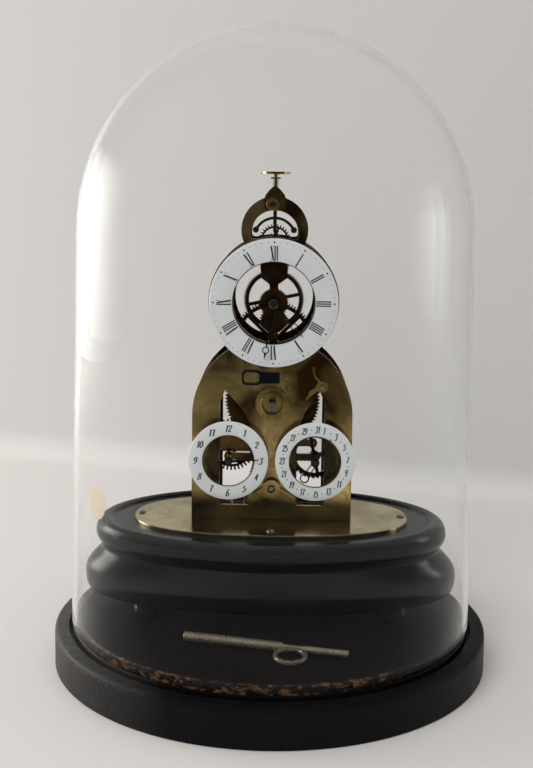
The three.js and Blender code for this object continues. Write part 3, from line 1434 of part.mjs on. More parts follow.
// Hammer: pallet, arm and head below its arbor, and the hook of the stop piece above
function hammerBody() {
  const h = hammer;
  const [x, z] = [hammerX, alarmEscapeHeight];
  const armFoot = bell.crown - bell.depth * 0.4;
  const r = h.armRadius;
  const arm = turnedZ([[0, armFoot], [r, armFoot], [r, z], [0, z]], x, h.plane, sides.tiny);
  const head = new THREE.CylinderGeometry(h.headRadius, h.headRadius, 2 * h.headHalf, sides.small)
    .rotateZ(TURN / 4).translate(x, h.plane, armFoot);
  const pallet = box(
    x - arborRadius, x + h.pallet, alarmEscape.front - GAP,
    alarmEscape.front + alarmEscape.thickness + GAP, z - r, z + r,
  );
  const hook = turnedZ(
    [[0, z], [r * 0.7, z], [r * 0.7, z + h.hookTop], [0, z + h.hookTop]], x, hookPlane, sides.tiny,
  );
  const eye = ring(
    h.hookRadius, h.hookRadius - r * 0.8, hookPlane - r * 0.6, hookPlane + r * 0.6, x - h.hookRadius,
    z + h.hookTop * 0.5, sides.small,
  );
  return join(arbor(x, z, inFront, inRear), arm, head, pallet, hook, eye);
}

const hookPlane = frontBack + pivot.length + GAP;

// Bell under the brass plate, on a post from the floor of the plinth's cavity
const bellX = () => hammerX + hammer.headHalf + bell.restGap + bell.radius;

function bellBody() {
  const [r, w, top] = [bell.radius, bell.wall, bell.crown];
  const foot = top - bell.depth;
  const section = [
    [0, top], [r * 0.7, top - w], [r * 0.92, top - bell.depth * 0.35], [r, foot], [r - w, foot],
    [r * 0.92 - w, top - bell.depth * 0.35], [r * 0.7 - w, top - 2 * w], [0, top - w],
  ];
  return turnedZ(section, bellX(), hammer.plane, sides.drum);
}

function bellAndPost() {
  const foot = plinthTop - plinth.cavityDepth + GAP;
  const top = bell.crown - bell.wall / 2;
  const post = turnedZ(
    [[0, foot], [bell.post * 2, foot], [bell.post, foot + bell.post], [bell.post, top], [0, top]],
    bellX(), hammer.plane, sides.small,
  );
  return join(bellBody(), post);
}

// Double-ended winding key with a flat ring handle, lying on the raised floor
function windingKey() {
  const k = key;
  const length = k.bigLength + k.neckLength + k.bowWall + k.neckLength + k.smallLength;
  const along = (radius, from, to, count) =>
    new THREE.CylinderGeometry(radius, radius, to - from, count).rotateZ(TURN / 4).translate(
      (from + to) / 2, 0, 0,
    );
  const big = along(k.bigRadius, 0, k.bigLength, sides.drum / 2);
  const neck = along(k.neckRadius, k.bigLength - GAP, length - k.smallLength + GAP, sides.small);
  const small = along(k.smallRadius, length - k.smallLength, length, sides.small);
  const middle = k.bigLength + k.neckLength + k.bowWall / 2;
  const half = k.bowThickness / 2;
  const bow = turnedZ(
    [
      [k.bowRadius - k.bowWall, -half], [k.bowRadius, -half], [k.bowRadius, half],
      [k.bowRadius - k.bowWall, half], [k.bowRadius - k.bowWall, -half],
    ],
    middle, -k.bowRadius - k.neckRadius * 0.4, sides.drum,
  );
  const bores = [
    box(-OVERRUN, k.boreDepth, -k.bore, k.bore, -k.bore, k.bore),
    box(length - k.boreDepth, length + OVERRUN, -k.bore * 0.7, k.bore * 0.7, -k.bore * 0.7, k.bore * 0.7),
  ];
  return cut(join(big, neck, small, bow), ...bores).rotateZ(rad(k.angle)).translate(
    k.x, k.y, floorTop + GAP + k.bigRadius,
  );
}

add('base_board', baseBoard(), 'ebonised');
add('raised_floor', raisedFloor(), 'ebonised');
add('plinth', plinthBody(), 'ebonised');
add('base_plate', brassPlate(), 'paleBrass');
add('glass_dome', glassDome(), 'glass');
add('front_plate', frontPlate(), 'brass');
add('rear_plate', rearPlate(), 'brass');
pillarPlaces().forEach(([x, z], i) => add(`pillar_${i + 1}`, pillarAt(x, z), 'brass'));
add('front_centre_cock', frontCentreCock(), 'brass');
add('rear_centre_cock', rearCentreCock(), 'brass');
add('front_cock', frontCock(), 'brass');
add('suspension_cock', suspensionCock(), 'brass');
add('front_bar', arborBar(frontBack + GAP), 'brass');
add('rear_bar', arborBar(rearBack + GAP), 'brass');
add('main_dial', mainDial(), 'enamel');
add('alarm_dial', sideDial(-1), 'enamel');
add('date_dial', sideDial(1), 'enamel');
add('minute_hand', moonHand(minuteHand, hand.minutePlane, centre.arbor + GAP), 'blackSteel');
add('hour_hand', moonHand(hourHand, hand.hourPlane, motion.pipe + GAP), 'blackSteel');
add('alarm_hand', alarmHandBody(), 'blackSteel');
add('date_hand', dateHandBody(), 'blackSteel');
add('alarm_hand_arbor', handArbor(-subDial.x), 'steel');
add('date_hand_arbor', handArbor(subDial.x), 'steel');
add('alarm_setting_wheel', settingWheelBody(), 'brass');
add('date_wheel', dateWheelBody(), 'brass');
add('great_wheel', greatWheel(), 'brass');
add('winding_arbor', windingArbor(), 'steel');
add('ratchet_wheel', ratchetWheel(), 'brass');
add('intermediate_arbor', intermediateArbor(), 'steel');
add('intermediate_wheel', intermediateWheel(), 'brass');
add('centre_arbor', centreArbor(), 'steel');
add('centre_wheel', centreWheel(), 'brass');
add('cannon_pinion', cannonPinion(), 'steel');
add('minute_wheel', minuteWheel(), 'brass');
add('hour_wheel', hourWheel(), 'brass');
add('third_arbor', thirdArbor(), 'steel');
add('third_wheel', thirdWheel(), 'brass');
add('fourth_wheel', fourthWheel(), 'brass');
add('escape_arbor', escapeArbor(), 'steel');
add('escape_wheel', escapeWheel(), 'brass');
add('anchor', anchorBody(), 'blackSteel');
add('crutch', crutchBody(), 'steel');
add('silk_loop', silkLoop(), 'silk');
add('pendulum_rod', pendulumRod(), 'steel');
add('pendulum_bob', pendulumBob(), 'brass');
add('rating_disc', ratingDiscBody(), 'brass');
add('click', clickBody(), 'brass');
add('click_spring', clickSpringBody(), 'blackSteel');
add('date_lever', dateLeverBody(), 'brass');
add('alarm_bridge', alarmBridge(), 'brass');
add('alarm_barrel', alarmBarrel(), 'brass');
add('alarm_winding_arbor', alarmWindingArbor(), 'steel');
add('alarm_second_wheel', alarmSecondBody(), 'brass');
add('alarm_escape_wheel', alarmEscapeBody(), 'brass');
add('hammer', hammerBody(), 'steel');
add('bell', bellAndPost(), 'paleBrass');
add('winding_key', windingKey(), 'steel');

export default group;
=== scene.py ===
import math
import bpy
import bmesh
import numpy as np
from functools import partial
from mathutils import Matrix, Vector


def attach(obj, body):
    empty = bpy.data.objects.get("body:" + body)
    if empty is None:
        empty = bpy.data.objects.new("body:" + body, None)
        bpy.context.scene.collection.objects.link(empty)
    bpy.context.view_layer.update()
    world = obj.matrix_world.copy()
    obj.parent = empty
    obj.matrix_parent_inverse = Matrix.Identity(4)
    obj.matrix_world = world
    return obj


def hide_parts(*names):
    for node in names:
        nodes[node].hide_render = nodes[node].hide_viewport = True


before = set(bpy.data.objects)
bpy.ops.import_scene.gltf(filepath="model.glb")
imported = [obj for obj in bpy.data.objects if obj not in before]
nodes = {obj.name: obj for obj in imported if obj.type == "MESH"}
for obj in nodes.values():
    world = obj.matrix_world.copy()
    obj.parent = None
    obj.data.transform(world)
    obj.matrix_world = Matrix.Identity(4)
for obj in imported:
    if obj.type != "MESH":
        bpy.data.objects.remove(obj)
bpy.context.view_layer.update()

mm = 0.001
fullTurn = 2 * math.pi
quarter = math.pi / 2
columns, chain = np.column_stack, np.concatenate


def toLinear(hexCode):
    # sRGB to linear: c / 12.92 below 0.04045, otherwise ((c + 0.055) / 1.055) ** 2.4
    c = np.array([int(hexCode[i:i + 2], 16) for i in (1, 3, 5)]) / 255
    return (*np.where(c <= 0.04045, c / 12.92, ((c + 0.055) / 1.055) ** 2.4), 1.0)


def table(names, rows):
    # a dict for each row, its values named by the columns
    return {key: dict(zip(names.split(), row)) for key, row in rows.items()}


def put(tree, kind, inputs=(), **settings):
    # adds one node; inputs come by name or in order: numbers, colour codes, outputs, nodes (their first open output)
    node = tree.nodes.new("ShaderNode" + kind)
    for key, value in settings.items():
        setattr(node, key, value)
    for key, value in inputs.items() if isinstance(inputs, dict) else enumerate(inputs):
        if isinstance(value, bpy.types.Node):
            value = next(output for output in value.outputs if output.enabled)
        if isinstance(value, bpy.types.NodeSocket):
            tree.links.new(value, node.inputs[key])
        else:
            node.inputs[key].default_value = toLinear(value) if isinstance(value, str) else value
    return node


def addObject(name, data):
    # a new object in the scene
    obj = bpy.data.objects.new(name, data)
    bpy.context.scene.collection.objects.link(obj)
    return obj


def around(count):
    # equal angles once round
    return np.linspace(0, fullTurn, count, endpoint=False)


def arc(x, z, radius, start, end, count):
    # points at equal angles on a circle about (x, z)
    t = np.linspace(start, end, count)
    return columns([x + radius * np.cos(t), z + radius * np.sin(t)])


def circle(x, z, radius, count):
    # a closed ring of points, the last one not repeated
    return arc(x, z, radius, 0, fullTurn, count + 1)[:-1]


def softened(corners, cut, steps=4):
    # every inner corner of a broken line becomes a parabola that starts and ends cut away from it
    corners = np.asarray(corners, float)
    out = [corners[:1]]
    s = np.linspace(0, 1, steps + 1)[:, None]
    for before, corner, after in zip(corners, corners[1:], corners[2:]):
        inLength, outLength = np.linalg.norm(before - corner), np.linalg.norm(after - corner)
        a = corner + (before - corner) * min(cut / inLength, 0.5)
        b = corner + (after - corner) * min(cut / outLength, 0.5)
        out.append((1 - s) ** 2 * a + 2 * s * (1 - s) * corner + s ** 2 * b)
    out.append(corners[-1:])
    return chain(out)


def smoothLine(points, perSpan=6):
    # Catmull-Rom curve through the points
    p = np.asarray(points, float)
    p = chain([2 * p[:1] - p[1:2], p, 2 * p[-1:] - p[-2:-1]])
    t = np.linspace(0, 1, perSpan, endpoint=False)[:, None]
    spans = []
    for a, b, c, d in zip(p, p[1:], p[2:], p[3:]):
        square, cube = 2 * a - 5 * b + 4 * c - d, 3 * b - a - 3 * c + d
        spans.append(0.5 * (2 * b + (c - a) * t + square * t ** 2 + cube * t ** 3))
    return chain(spans + [p[-2:-1]])


def rowFaces(rows, closed=False):
    # joins each row of points to the next; a row shrunk to one point becomes a pole
    count, across = rows.shape[:2]
    pole = np.ptp(rows, axis=1).max(axis=1) < 1e-6
    points = chain([row[:1] if p else row for row, p in zip(rows, pole)])
    starts = chain([[0], np.cumsum(np.where(pole, 1, across))[:-1]])
    i = np.arange(across)
    j = (i + 1) % across
    faces = []
    for a in range(count if closed else count - 1):
        b = (a + 1) % count
        if pole[a] and pole[b]:
            continue
        if pole[a]:
            block = [np.full(across, starts[a]), starts[b] + j, starts[b] + i]
        elif pole[b]:
            block = [starts[a] + i, starts[a] + j, np.full(across, starts[b])]
        else:
            block = [starts[a] + i, starts[a] + j, starts[b] + j, starts[b] + i]
        faces += columns(block).tolist()
    return points, faces


def joinMeshes(parts):
    # several (points, faces) pairs as one
    points, faces, start = [], [], 0
    for partPoints, partFaces in parts:
        points.append(partPoints)
        faces += [[v + start for v in f] for f in partFaces]
        start += len(partPoints)
    return chain(points), faces


def oval(profile, centreY=0.0, squareness=2.0, closed=False, count=256):
    # a row for each (half width, half depth, height): superellipse x = a |cos t|^(2/n), y = b |sin t|^(2/n)
    t = around(count)
    c, s = np.cos(t), np.sin(t)
    c = np.sign(c) * np.abs(c) ** (2 / squareness)
    s = np.sign(s) * np.abs(s) ** (2 / squareness)
    p = np.asarray(profile, float)
    x = p[:, :1] * c
    return rowFaces(np.stack([x, centreY + p[:, 1:2] * s, np.broadcast_to(p[:, 2:3], x.shape)], 2), closed)


def lathe(profile, count, closed, order, shift):
    # (radius, place on the axis) pairs turned about the axis, which order puts last
    t = around(count)
    p = np.asarray(profile, float)
    axes = [p[:, :1] * np.cos(t), p[:, :1] * np.sin(t), np.broadcast_to(p[:, 1:2], (len(p), count))]
    return rowFaces(np.stack([axes[i] for i in order], 2) + shift, closed)


def turned(profile, x, z, count=64, closed=False):
    # (radius, y) pairs turned about a line along Y through (x, z)
    return lathe(profile, count, closed, (0, 2, 1), (x, 0, z))


def upright(profile, x, y, count=64, closed=False):
    # (radius, z) pairs turned about a vertical line through (x, y)
    return lathe(profile, count, closed, (0, 1, 2), (x, y, 0))


def readMesh(items, field):
    # a vector field of all vertices or faces as rows of three
    values = np.empty(len(items) * 3)
    items.foreach_get(field, values)
    return values.reshape(-1, 3)


def rotated(x, y, degrees):
    # x cos a - y sin a, x sin a + y cos a
    c, s = math.cos(math.radians(degrees)), math.sin(math.radians(degrees))
    return x * c - y * s, x * s + y * c


def cutSheet(outlines, y0, y1, edge=0.0):
    # a sheet with holes: Blender fills the closed outlines, the first less the others, and rolls its edges
    curve = bpy.data.curves.new("sheet", "CURVE")
    curve.dimensions = "2D"
    curve.fill_mode = "BOTH"
    for outline in outlines:
        spline = curve.splines.new("POLY")
        spline.points.add(len(outline) - 1)
        flat = columns([outline, np.zeros(len(outline)), np.ones(len(outline))])
        spline.points.foreach_set("co", flat.ravel())
        spline.use_cyclic_u = True
    curve.extrude = abs(y1 - y0) / 2 - edge
    curve.bevel_depth = edge
    curve.bevel_resolution = 1
    curve.offset = -edge
    holder = bpy.data.objects.new("sheet", curve)
    mesh = bpy.data.meshes.new_from_object(holder)
    points = readMesh(mesh.vertices, "co")
    faces = [list(f.vertices) for f in mesh.polygons]
    bpy.data.objects.remove(holder)
    bpy.data.curves.remove(curve)
    bpy.data.meshes.remove(mesh)
    return columns([points[:, 0], (y0 + y1) / 2 - points[:, 2], points[:, 1]]), faces


def turnPart(part, degrees, x, z):
    # turns a piece clockwise, seen from the front, about a line along Y through (x, z)
    points, faces = part
    dx, dz = rotated(points[:, 0] - x, points[:, 2] - z, -degrees)
    return columns([x + dx, points[:, 1], z + dz]), faces


def coat(mesh, material):
    # the one material of a mesh
    mesh.materials.clear()
    mesh.materials.append(material)


def piece(name, part, body, material, stands=(), sharp=40, attributes=()):
    # puts points (millimetres) and faces into a mesh, closes its seams, turns its faces outwards and gives it a body
    points, faces = part
    mesh = bpy.data.meshes.new(name)
    mesh.from_pydata((np.asarray(points) * mm).tolist(), [], faces)
    work = bmesh.new()
    work.from_mesh(mesh)
    bmesh.ops.remove_doubles(work, verts=work.verts, dist=2e-6)
    bmesh.ops.recalc_face_normals(work, faces=work.faces)
    work.to_mesh(mesh)
    work.free()
    mesh.shade_smooth()
    mesh.set_sharp_from_angle(angle=math.radians(sharp))
    # faces that lie square to an axis are flat, so that a rolled edge beside them leaves no bent reflection
    square = np.abs(readMesh(mesh.polygons, "normal")).max(axis=1) > 0.99999
    mesh.polygons.foreach_set("use_smooth", ~square)
    for attribute, formula in attributes:
        values = formula(readMesh(mesh.vertices, "co") / mm)
        mesh.attributes.new(attribute, "FLOAT", "POINT").data.foreach_set("value", values.astype(np.float32))
    coat(mesh, material)
    obj = addObject(name, mesh)
    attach(obj, body)
    if stands:
        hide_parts(*stands)
    for node in stands:
        coat(nodes[node].data, material)


def begin(name):
    # an empty material, the function that adds nodes to it, and the place on the object
    material = bpy.data.materials.new(name)
    material.use_nodes = True
    tree = material.node_tree
    tree.nodes.clear()
    add = partial(put, tree)
    return material, add, add("TexCoord").outputs["Object"]


def finished(material, surface):
    # the material with its surface joined to the output
    put(material.node_tree, "OutputMaterial", (surface,))
    return material


def ebonisedWood(finish):
    # beech stained black and polished with shellac: deep gloss, fine grain, grey dust, a painted highlight on the
    # plinth rim, bare brown where it is worn
    material, add, where = begin(finish["name"])
    cloud = add("TexNoise", {"Vector": where, "Scale": 22.0, "Detail": 5.0, "Roughness": 0.62})
    grain, chips = (
        add("TexNoise", {
            "Vector": add("Mapping", {"Vector": where, "Scale": scale}),
            "Scale": 1.0, "Detail": detail, "Roughness": rough,
        })
        for scale, detail, rough in (((90, 700, 700), 4.0, 0.6), ((150, 320, 320), 8.0, 0.7))
    )
    crackle = add("TexVoronoi", {"Vector": where, "Scale": 420.0}, feature="DISTANCE_TO_EDGE")
    wear, dust = (add("Attribute", attribute_name=name).outputs["Fac"] for name in ("wear", "dust"))
    rubbed = add("Math", (wear, 0.55, chips), operation="MULTIPLY_ADD")
    bare = add("MapRange", (rubbed, finish["rub"], finish["rub"] + 0.07))
    specks = add("MapRange", (grain, 0.35, 0.75, finish["dust"] * 0.4, finish["dust"]))
    # the pale film is grey dust on the board and a painted highlight on the plinth rim
    film = add("Math", (dust, specks), operation="MULTIPLY", use_clamp=True)
    wood = add("Mix", {"Factor": grain, "A": "#3a2417", "B": "#8a6444"}, data_type="RGBA")
    colour = finish["dark"]
    for share, tone in ((cloud, finish["light"]), (bare, wood), (film, "#8a8784")):
        colour = add("Mix", {"Factor": share, "A": colour, "B": tone}, data_type="RGBA")
    rough = add("MapRange", (cloud, 0.3, 0.7, finish["gloss"], finish["gloss"] + finish["patches"]))
    rougher = add("Math", (rough, bare), operation="MAXIMUM", use_clamp=True)
    cracks = add("Math", (crackle, finish["crackle"]), operation="MULTIPLY")
    relief = add("Math", (grain, 0.35, cracks), operation="MULTIPLY_ADD")
    bump = add("Bump", {"Height": relief, "Strength": finish["bump"], "Distance": 0.0003})
    return finished(material, add("BsdfPrincipled", {
        "Base Color": colour, "Roughness": rougher, "Normal": bump, "Specular IOR Level": finish["shine"],
    }))


def agedBrass(finish):
    # rolled brass, once lacquered: warm metal under cloudy brown tarnish, small dark spots and faint polishing lines
    material, add, where = begin(finish["name"])
    cloud = add("TexNoise", {
        "Vector": where, "Scale": finish["cloudScale"], "Detail": 3.0, "Roughness": 0.55, "Distortion": 0.4,
    })
    mottle = add("TexNoise", {"Vector": where, "Scale": 260.0, "Detail": 6.0, "Roughness": 0.65})
    spots = add("TexNoise", {"Vector": where, "Scale": 520.0, "Detail": 2.0})
    linePlace = add("Mapping", {"Vector": where, "Scale": (420, 420, 30)})
    lines = add("TexNoise", {"Vector": linePlace, "Scale": 1.0, "Detail": 2.0})
    coats = [
        (add("MapRange", (cloud, 0.38, 0.62)), finish["light"]),
        (add("MapRange", (mottle, 0.3, 0.8, 0.0, finish["mottle"])), finish["brown"]),
        (add("MapRange", (spots, 0.68, 0.76, 0.0, 0.3)), "#33240f"),
    ]
    if "foot" in finish:
        # painted shade: dark red-brown rises from the foot of the plate, standing for the dark reflection low on it,
        # with an edge as cloudy as the metal
        level = add("SeparateXYZ", (where,)).outputs["Z"]
        height = add("Math", (cloud, 0.012, level), operation="MULTIPLY_ADD")
        coats.append((add("MapRange", (height, *finish["foot"], 0.94, 0.0)), "#2a120a"))
        # painted shade: dark rounds on the plate where it lies in shade behind the openings of the small dials
        for x, z, radius in finish["unpolished"]:
            offset = add("VectorMath", (where, (x, 0.0, z)), operation="SUBTRACT")
            flat = add("VectorMath", (offset, (1.0, 0.0, 1.0)), operation="MULTIPLY")
            away = add("VectorMath", (flat,), operation="LENGTH")
            coats.append((add("MapRange", (away, radius - 0.003, radius + 0.002, 0.93, 0.0)), "#2a2016"))
    colour = finish["dark"]
    for share, tone in coats:
        colour = add("Mix", {"Factor": share, "A": colour, "B": tone}, data_type="RGBA")
    rough = add("MapRange", (mottle, 0.3, 0.75, finish["polish"], finish["polish"] + 0.18))
    bump = add("Bump", {"Height": lines, "Strength": 0.05, "Distance": 0.00005})
    return finished(material, add("BsdfPrincipled", {
        "Base Color": colour, "Roughness": rough, "Normal": bump, "Metallic": 1.0,
    }))


def polishedSteel(finish):
    # turned and hardened steel: grey or blued metal, even gloss, fine lathe marks and a few rust-brown specks
    material, add, where = begin(finish["name"])
    haze = add("TexNoise", {"Vector": where, "Scale": 180.0, "Detail": 4.0})
    fine = add("TexNoise", {"Vector": where, "Scale": 2600.0, "Detail": 2.0})
    rust = add("MapRange", (haze, 0.62, 0.72, 0.0, finish["rust"]))
    colour = finish["dark"]
    for share, tone in ((haze, finish["light"]), (rust, "#5b3a22")):
        colour = add("Mix", {"Factor": share, "A": colour, "B": tone}, data_type="RGBA")
    rough = add("MapRange", (fine, 0.3, 0.7, finish["polish"], finish["polish"] + 0.12))
    bump = add("Bump", {"Height": fine, "Strength": 0.08, "Distance": 0.00004})
    return finished(material, add("BsdfPrincipled", {
        "Base Color": colour, "Roughness": rough, "Normal": bump, "Metallic": finish["metal"],
    }))


def dialEnamel():
    # fired white enamel on copper: glassy, cool white, with a faint ripple from the kiln and rare grey pinholes
    material, add, where = begin("FiredEnamel")
    cloud = add("TexNoise", {"Vector": where, "Scale": 60.0, "Detail": 3.0})
    pin = add("TexNoise", {"Vector": where, "Scale": 900.0, "Detail": 1.0})
    holes = add("MapRange", (pin, 0.76, 0.79, 0.0, 0.5))
    colour = "#e6e7e9"
    for share, tone in ((cloud, "#f0f1f2"), (holes, "#8f8d88")):
        colour = add("Mix", {"Factor": share, "A": colour, "B": tone}, data_type="RGBA")
    bump = add("Bump", {"Height": cloud, "Strength": 0.15, "Distance": 0.0004})
    return finished(material, add("BsdfPrincipled", {
        "Base Color": colour, "Normal": bump, "Roughness": 0.16, "IOR": 1.52,
        "Coat Weight": 0.4, "Coat Roughness": 0.05,
    }))


def firedBlack():
    # black vitreous paint of the numerals: thin, slightly matt against the enamel, paler where the brush ran dry
    material, add, where = begin("VitreousBlack")
    brush = add("TexNoise", {"Vector": where, "Scale": 700.0, "Detail": 3.0})
    colour = add("Mix", {"Factor": brush, "A": "#040406", "B": "#121217"}, data_type="RGBA")
    return finished(material, add("BsdfPrincipled", {"Base Color": colour, "Roughness": 0.35}))


def blownGlass():
    # hand-blown soda glass: clear, hard gloss, long soft waves up the wall; light that falls on what stands inside
    # goes straight through
    material, add, where = begin("BlownGlass")
    wavePlace = add("Mapping", {"Vector": where, "Scale": (14, 14, 3.5)})
    wave = add("TexNoise", {"Vector": wavePlace, "Scale": 1.0, "Detail": 1.0})
    glassy = add("BsdfPrincipled", {
        "Base Color": "#ffffff", "Roughness": 0.0, "IOR": 1.21, "Specular Tint": "#bababa",
        "Transmission Weight": 1.0, "Normal": add("Bump", {"Height": wave, "Strength": 0.25, "Distance": 0.001}),
    })
    rays = add("LightPath").outputs
    mirrored = add("Math", (rays["Is Glossy Ray"], rays["Is Transmission Ray"]), operation="SUBTRACT", use_clamp=True)
    bounced = add("Math", (rays["Is Diffuse Ray"], mirrored), operation="MAXIMUM")
    light = add("Math", (rays["Is Shadow Ray"], bounced), operation="MAXIMUM")
    return finished(material, add("MixShader", (light, glassy, add("BsdfTransparent", ("#f6f8f8",)))))


def twistedSilk():
    # undyed silk thread: pale gold fibres laid at a slant, soft sheen
    material, add, where = begin("TwistedSilk")
    wave = add("TexWave", {"Vector": where, "Scale": 900.0, "Distortion": 1.0}, bands_direction="DIAGONAL")
    lay = wave.outputs["Fac"]
    return finished(material, add("BsdfPrincipled", {
        "Base Color": add("Mix", {"Factor": lay, "A": "#8f7a4c", "B": "#cbb98a"}, data_type="RGBA"),
        "Normal": add("Bump", {"Height": lay, "Strength": 0.3, "Distance": 0.0001}),
        "Roughness": 0.6, "Sheen Weight": 0.3,
    }))


def gummedPaper():
    # old gummed paper: cream, matt, foxed by age
    material, add, where = begin("GummedPaper")
    fibre = add("TexNoise", {"Vector": where, "Scale": 800.0, "Detail": 5.0})
    age = add("TexNoise", {"Vector": where, "Scale": 90.0, "Detail": 3.0})
    return finished(material, add("BsdfPrincipled", {
        "Base Color": add("Mix", {"Factor": age, "A": "#d9cdbc", "B": "#c9b9a1"}, data_type="RGBA"),
        "Normal": add("Bump", {"Height": fibre, "Strength": 0.3, "Distance": 0.0001}),
        "Roughness": 0.8,
    }))


# gloss is the roughness of the shellac and patches its spread; rub is where wear shows the bare wood
woodFinish = table("name dark light gloss patches shine rub dust bump crackle", {
    "board": ("EbonisedBeechBoard", "#060607", "#121012", 0.36, 0.16, 0.1, 1.22, 0.5, 1.0, 1.3),
    "floor": ("EbonisedBeechFloor", "#070607", "#151112", 0.3, 0.16, 0.12, 1.06, 0.1, 0.25, 0.1),
    "plinth": ("EbonisedBeechPlinth", "#060607", "#0d0d0f", 0.17, 0.04, 0.3, 1.3, 0.16, 0.03, 0.0),
})
brassFinish = table("name dark light brown mottle cloudScale polish", {
    # plate: besides its tarnish, this brass carries painted shade at its foot and in rounds behind the small dials
    "plate": ("TarnishedBrassPlate", "#523817", "#e8ca84", "#4a3018", 0.4, 24.0, 0.12),
    # wheel: a darker copy of the plate brass, painted shade for the wheels, dial feet and linings that sit in shade
    # behind the dials and plates
    "wheel": ("DarkenedWheelBrass", "#34210f", "#6f4c27", "#20120a", 0.6, 60.0, 0.26),
    "bronze": ("BronzedBrass", "#2a190f", "#5e4028", "#241409", 0.4, 70.0, 0.2),
    "cock": ("BrownedBrass", "#5c4022", "#9a7545", "#38220f", 0.4, 60.0, 0.18),
    "dim": ("DimmedBrass", "#3c2b15", "#84683a", "#2a1c0c", 0.4, 30.0, 0.16),
    "pale": ("PolishedPaleBrass", "#a8976e", "#d6c79e", "#8f7c50", 0.35, 24.0, 0.1),
    "gilt": ("BrightBrass", "#9c8044", "#e2c67c", "#63481f", 0.25, 60.0, 0.12),
})
# foot: heights between which the painted shade from the foot fades; then x, z and radius of each round of painted
# shade behind the small dials, all in metres
brassFinish["plate"].update(foot=(0.094, 0.121), unpolished=[(-0.0292, 0.1376, 0.018), (0.0286, 0.1376, 0.018)])
steelFinish = table("name dark light polish rust metal", {
    "bright": ("PolishedSteel", "#77777a", "#a9aaad", 0.2, 0.35, 1.0),
    "dim": ("DulledSteel", "#3b3937", "#5c5854", 0.3, 0.5, 1.0),
    "blued": ("BluedSteel", "#16171f", "#23242e", 0.24, 0.1, 0.9),
    "nickel": ("NickelPlatedSteel", "#968975", "#d8ccb2", 0.2, 0.15, 0.85),
})
wood = {key: ebonisedWood(finish) for key, finish in woodFinish.items()}
brass = {key: agedBrass(finish) for key, finish in brassFinish.items()}
steel = {key: polishedSteel(finish) for key, finish in steelFinish.items()}
enamel = dialEnamel()
dialInk = firedBlack()
glass = blownGlass()
silk = twistedSilk()
paper = gummedPaper()
print("materials made")

camera = dict(
    x=3.2, y=-684.4, z=317.6, lens=47.775, sensor=36,
    pitch=0.101, roll=0.013, yaw=-0.012, rise=-88.22 / 768, near=0.02, far=20,
)


def placeCamera():
    # forward, right and up come from yaw about Z, then pitch, then roll about the view line
    (cy, sy), (cp, sp), (cr, sr) = ((math.cos(camera[k]), math.sin(camera[k])) for k in ("yaw", "pitch", "roll"))
    across, ahead = Vector((cy, -sy, 0)), Vector((sy, cy, 0))
    forward = ahead * cp - Vector((0, 0, 1)) * sp
    above = ahead * sp + Vector((0, 0, 1)) * cp
    right = across * cr + above * sr
    up = above * cr - across * sr
    data = bpy.data.cameras.new("camera")
    data.lens = camera["lens"]
    data.sensor_width = camera["sensor"]
    data.shift_y = camera["rise"]
    data.clip_start, data.clip_end = camera["near"], camera["far"]
    place = Matrix((right, up, -forward)).transposed().to_4x4()
    place.translation = Vector((camera["x"], camera["y"], camera["z"])) * mm
    obj = addObject("camera", data)
    obj.matrix_world = place
    bpy.context.scene.camera = obj


sweep = dict(away=0.44, slope=0.245, bend=0.03, height=3.2, half=4.0, front=-4.0, fade=(-0.17, -1.0))


def sweepPaper():
    # matt studio paper, one-sided: warm grey on the floor, cooler on the wall; in front of the clock painted shade
    # turns it dark grey, standing for the dim room that the polished parts mirror
    material, add, where = begin("PaperSweep")
    shade = add("TexNoise", {"Vector": where, "Scale": 1.2, "Detail": 2.0})
    place = add("SeparateXYZ", (where,)).outputs
    onWall = add("MapRange", (place["Z"], 0.0, 0.03))
    ground = add("Mix", {"Factor": shade, "A": "#dad6d3", "B": "#dedbd9"}, data_type="RGBA")
    wall = add("Mix", {"Factor": shade, "A": "#cecccb", "B": "#d2d0cf"}, data_type="RGBA")
    # painted shade: dark grey in front of the clock, coming in between the two fade distances along y
    paintedFrontShade = add("MapRange", (place["Y"], *sweep["fade"]), interpolation_type="SMOOTHSTEP")
    colour = ground
    for share, tone in ((onWall, wall), (paintedFrontShade, "#5e5c5a")):
        colour = add("Mix", {"Factor": share, "A": colour, "B": tone}, data_type="RGBA")
    sheet = add("BsdfPrincipled", {"Base Color": colour, "Roughness": 0.8, "Specular IOR Level": 0.2})
    back = add("NewGeometry").outputs["Backfacing"]
    return finished(material, add("MixShader", (back, sheet, add("BsdfTransparent"))))


def backdrop():
    # level floor, a tight quarter turn and an upright wall; the foot of the wall runs aslant, y = away - slope x
    t = np.linspace(0, quarter, 10)
    out = chain([sweep["bend"] * (np.sin(t) - 1), [0]])
    z = chain([[0], sweep["bend"] * (1 - np.cos(t)), [sweep["height"]]])
    x = np.array([-sweep["half"], sweep["half"]])[:, None]
    y = chain([np.full((2, 1), sweep["front"]), sweep["away"] - sweep["slope"] * x + out], 1)
    points = np.stack([np.broadcast_to(x, y.shape), y, np.broadcast_to(z, y.shape)], 2).reshape(-1, 3)
    i = np.arange(len(z) - 1)
    faces = columns([i, i + len(z), i + len(z) + 1, i + 1])
    mesh = bpy.data.meshes.new("backdrop")
    mesh.from_pydata(points.tolist(), [], faces.tolist())
    mesh.shade_smooth()
    coat(mesh, sweepPaper())
    obj = addObject("backdrop", mesh)


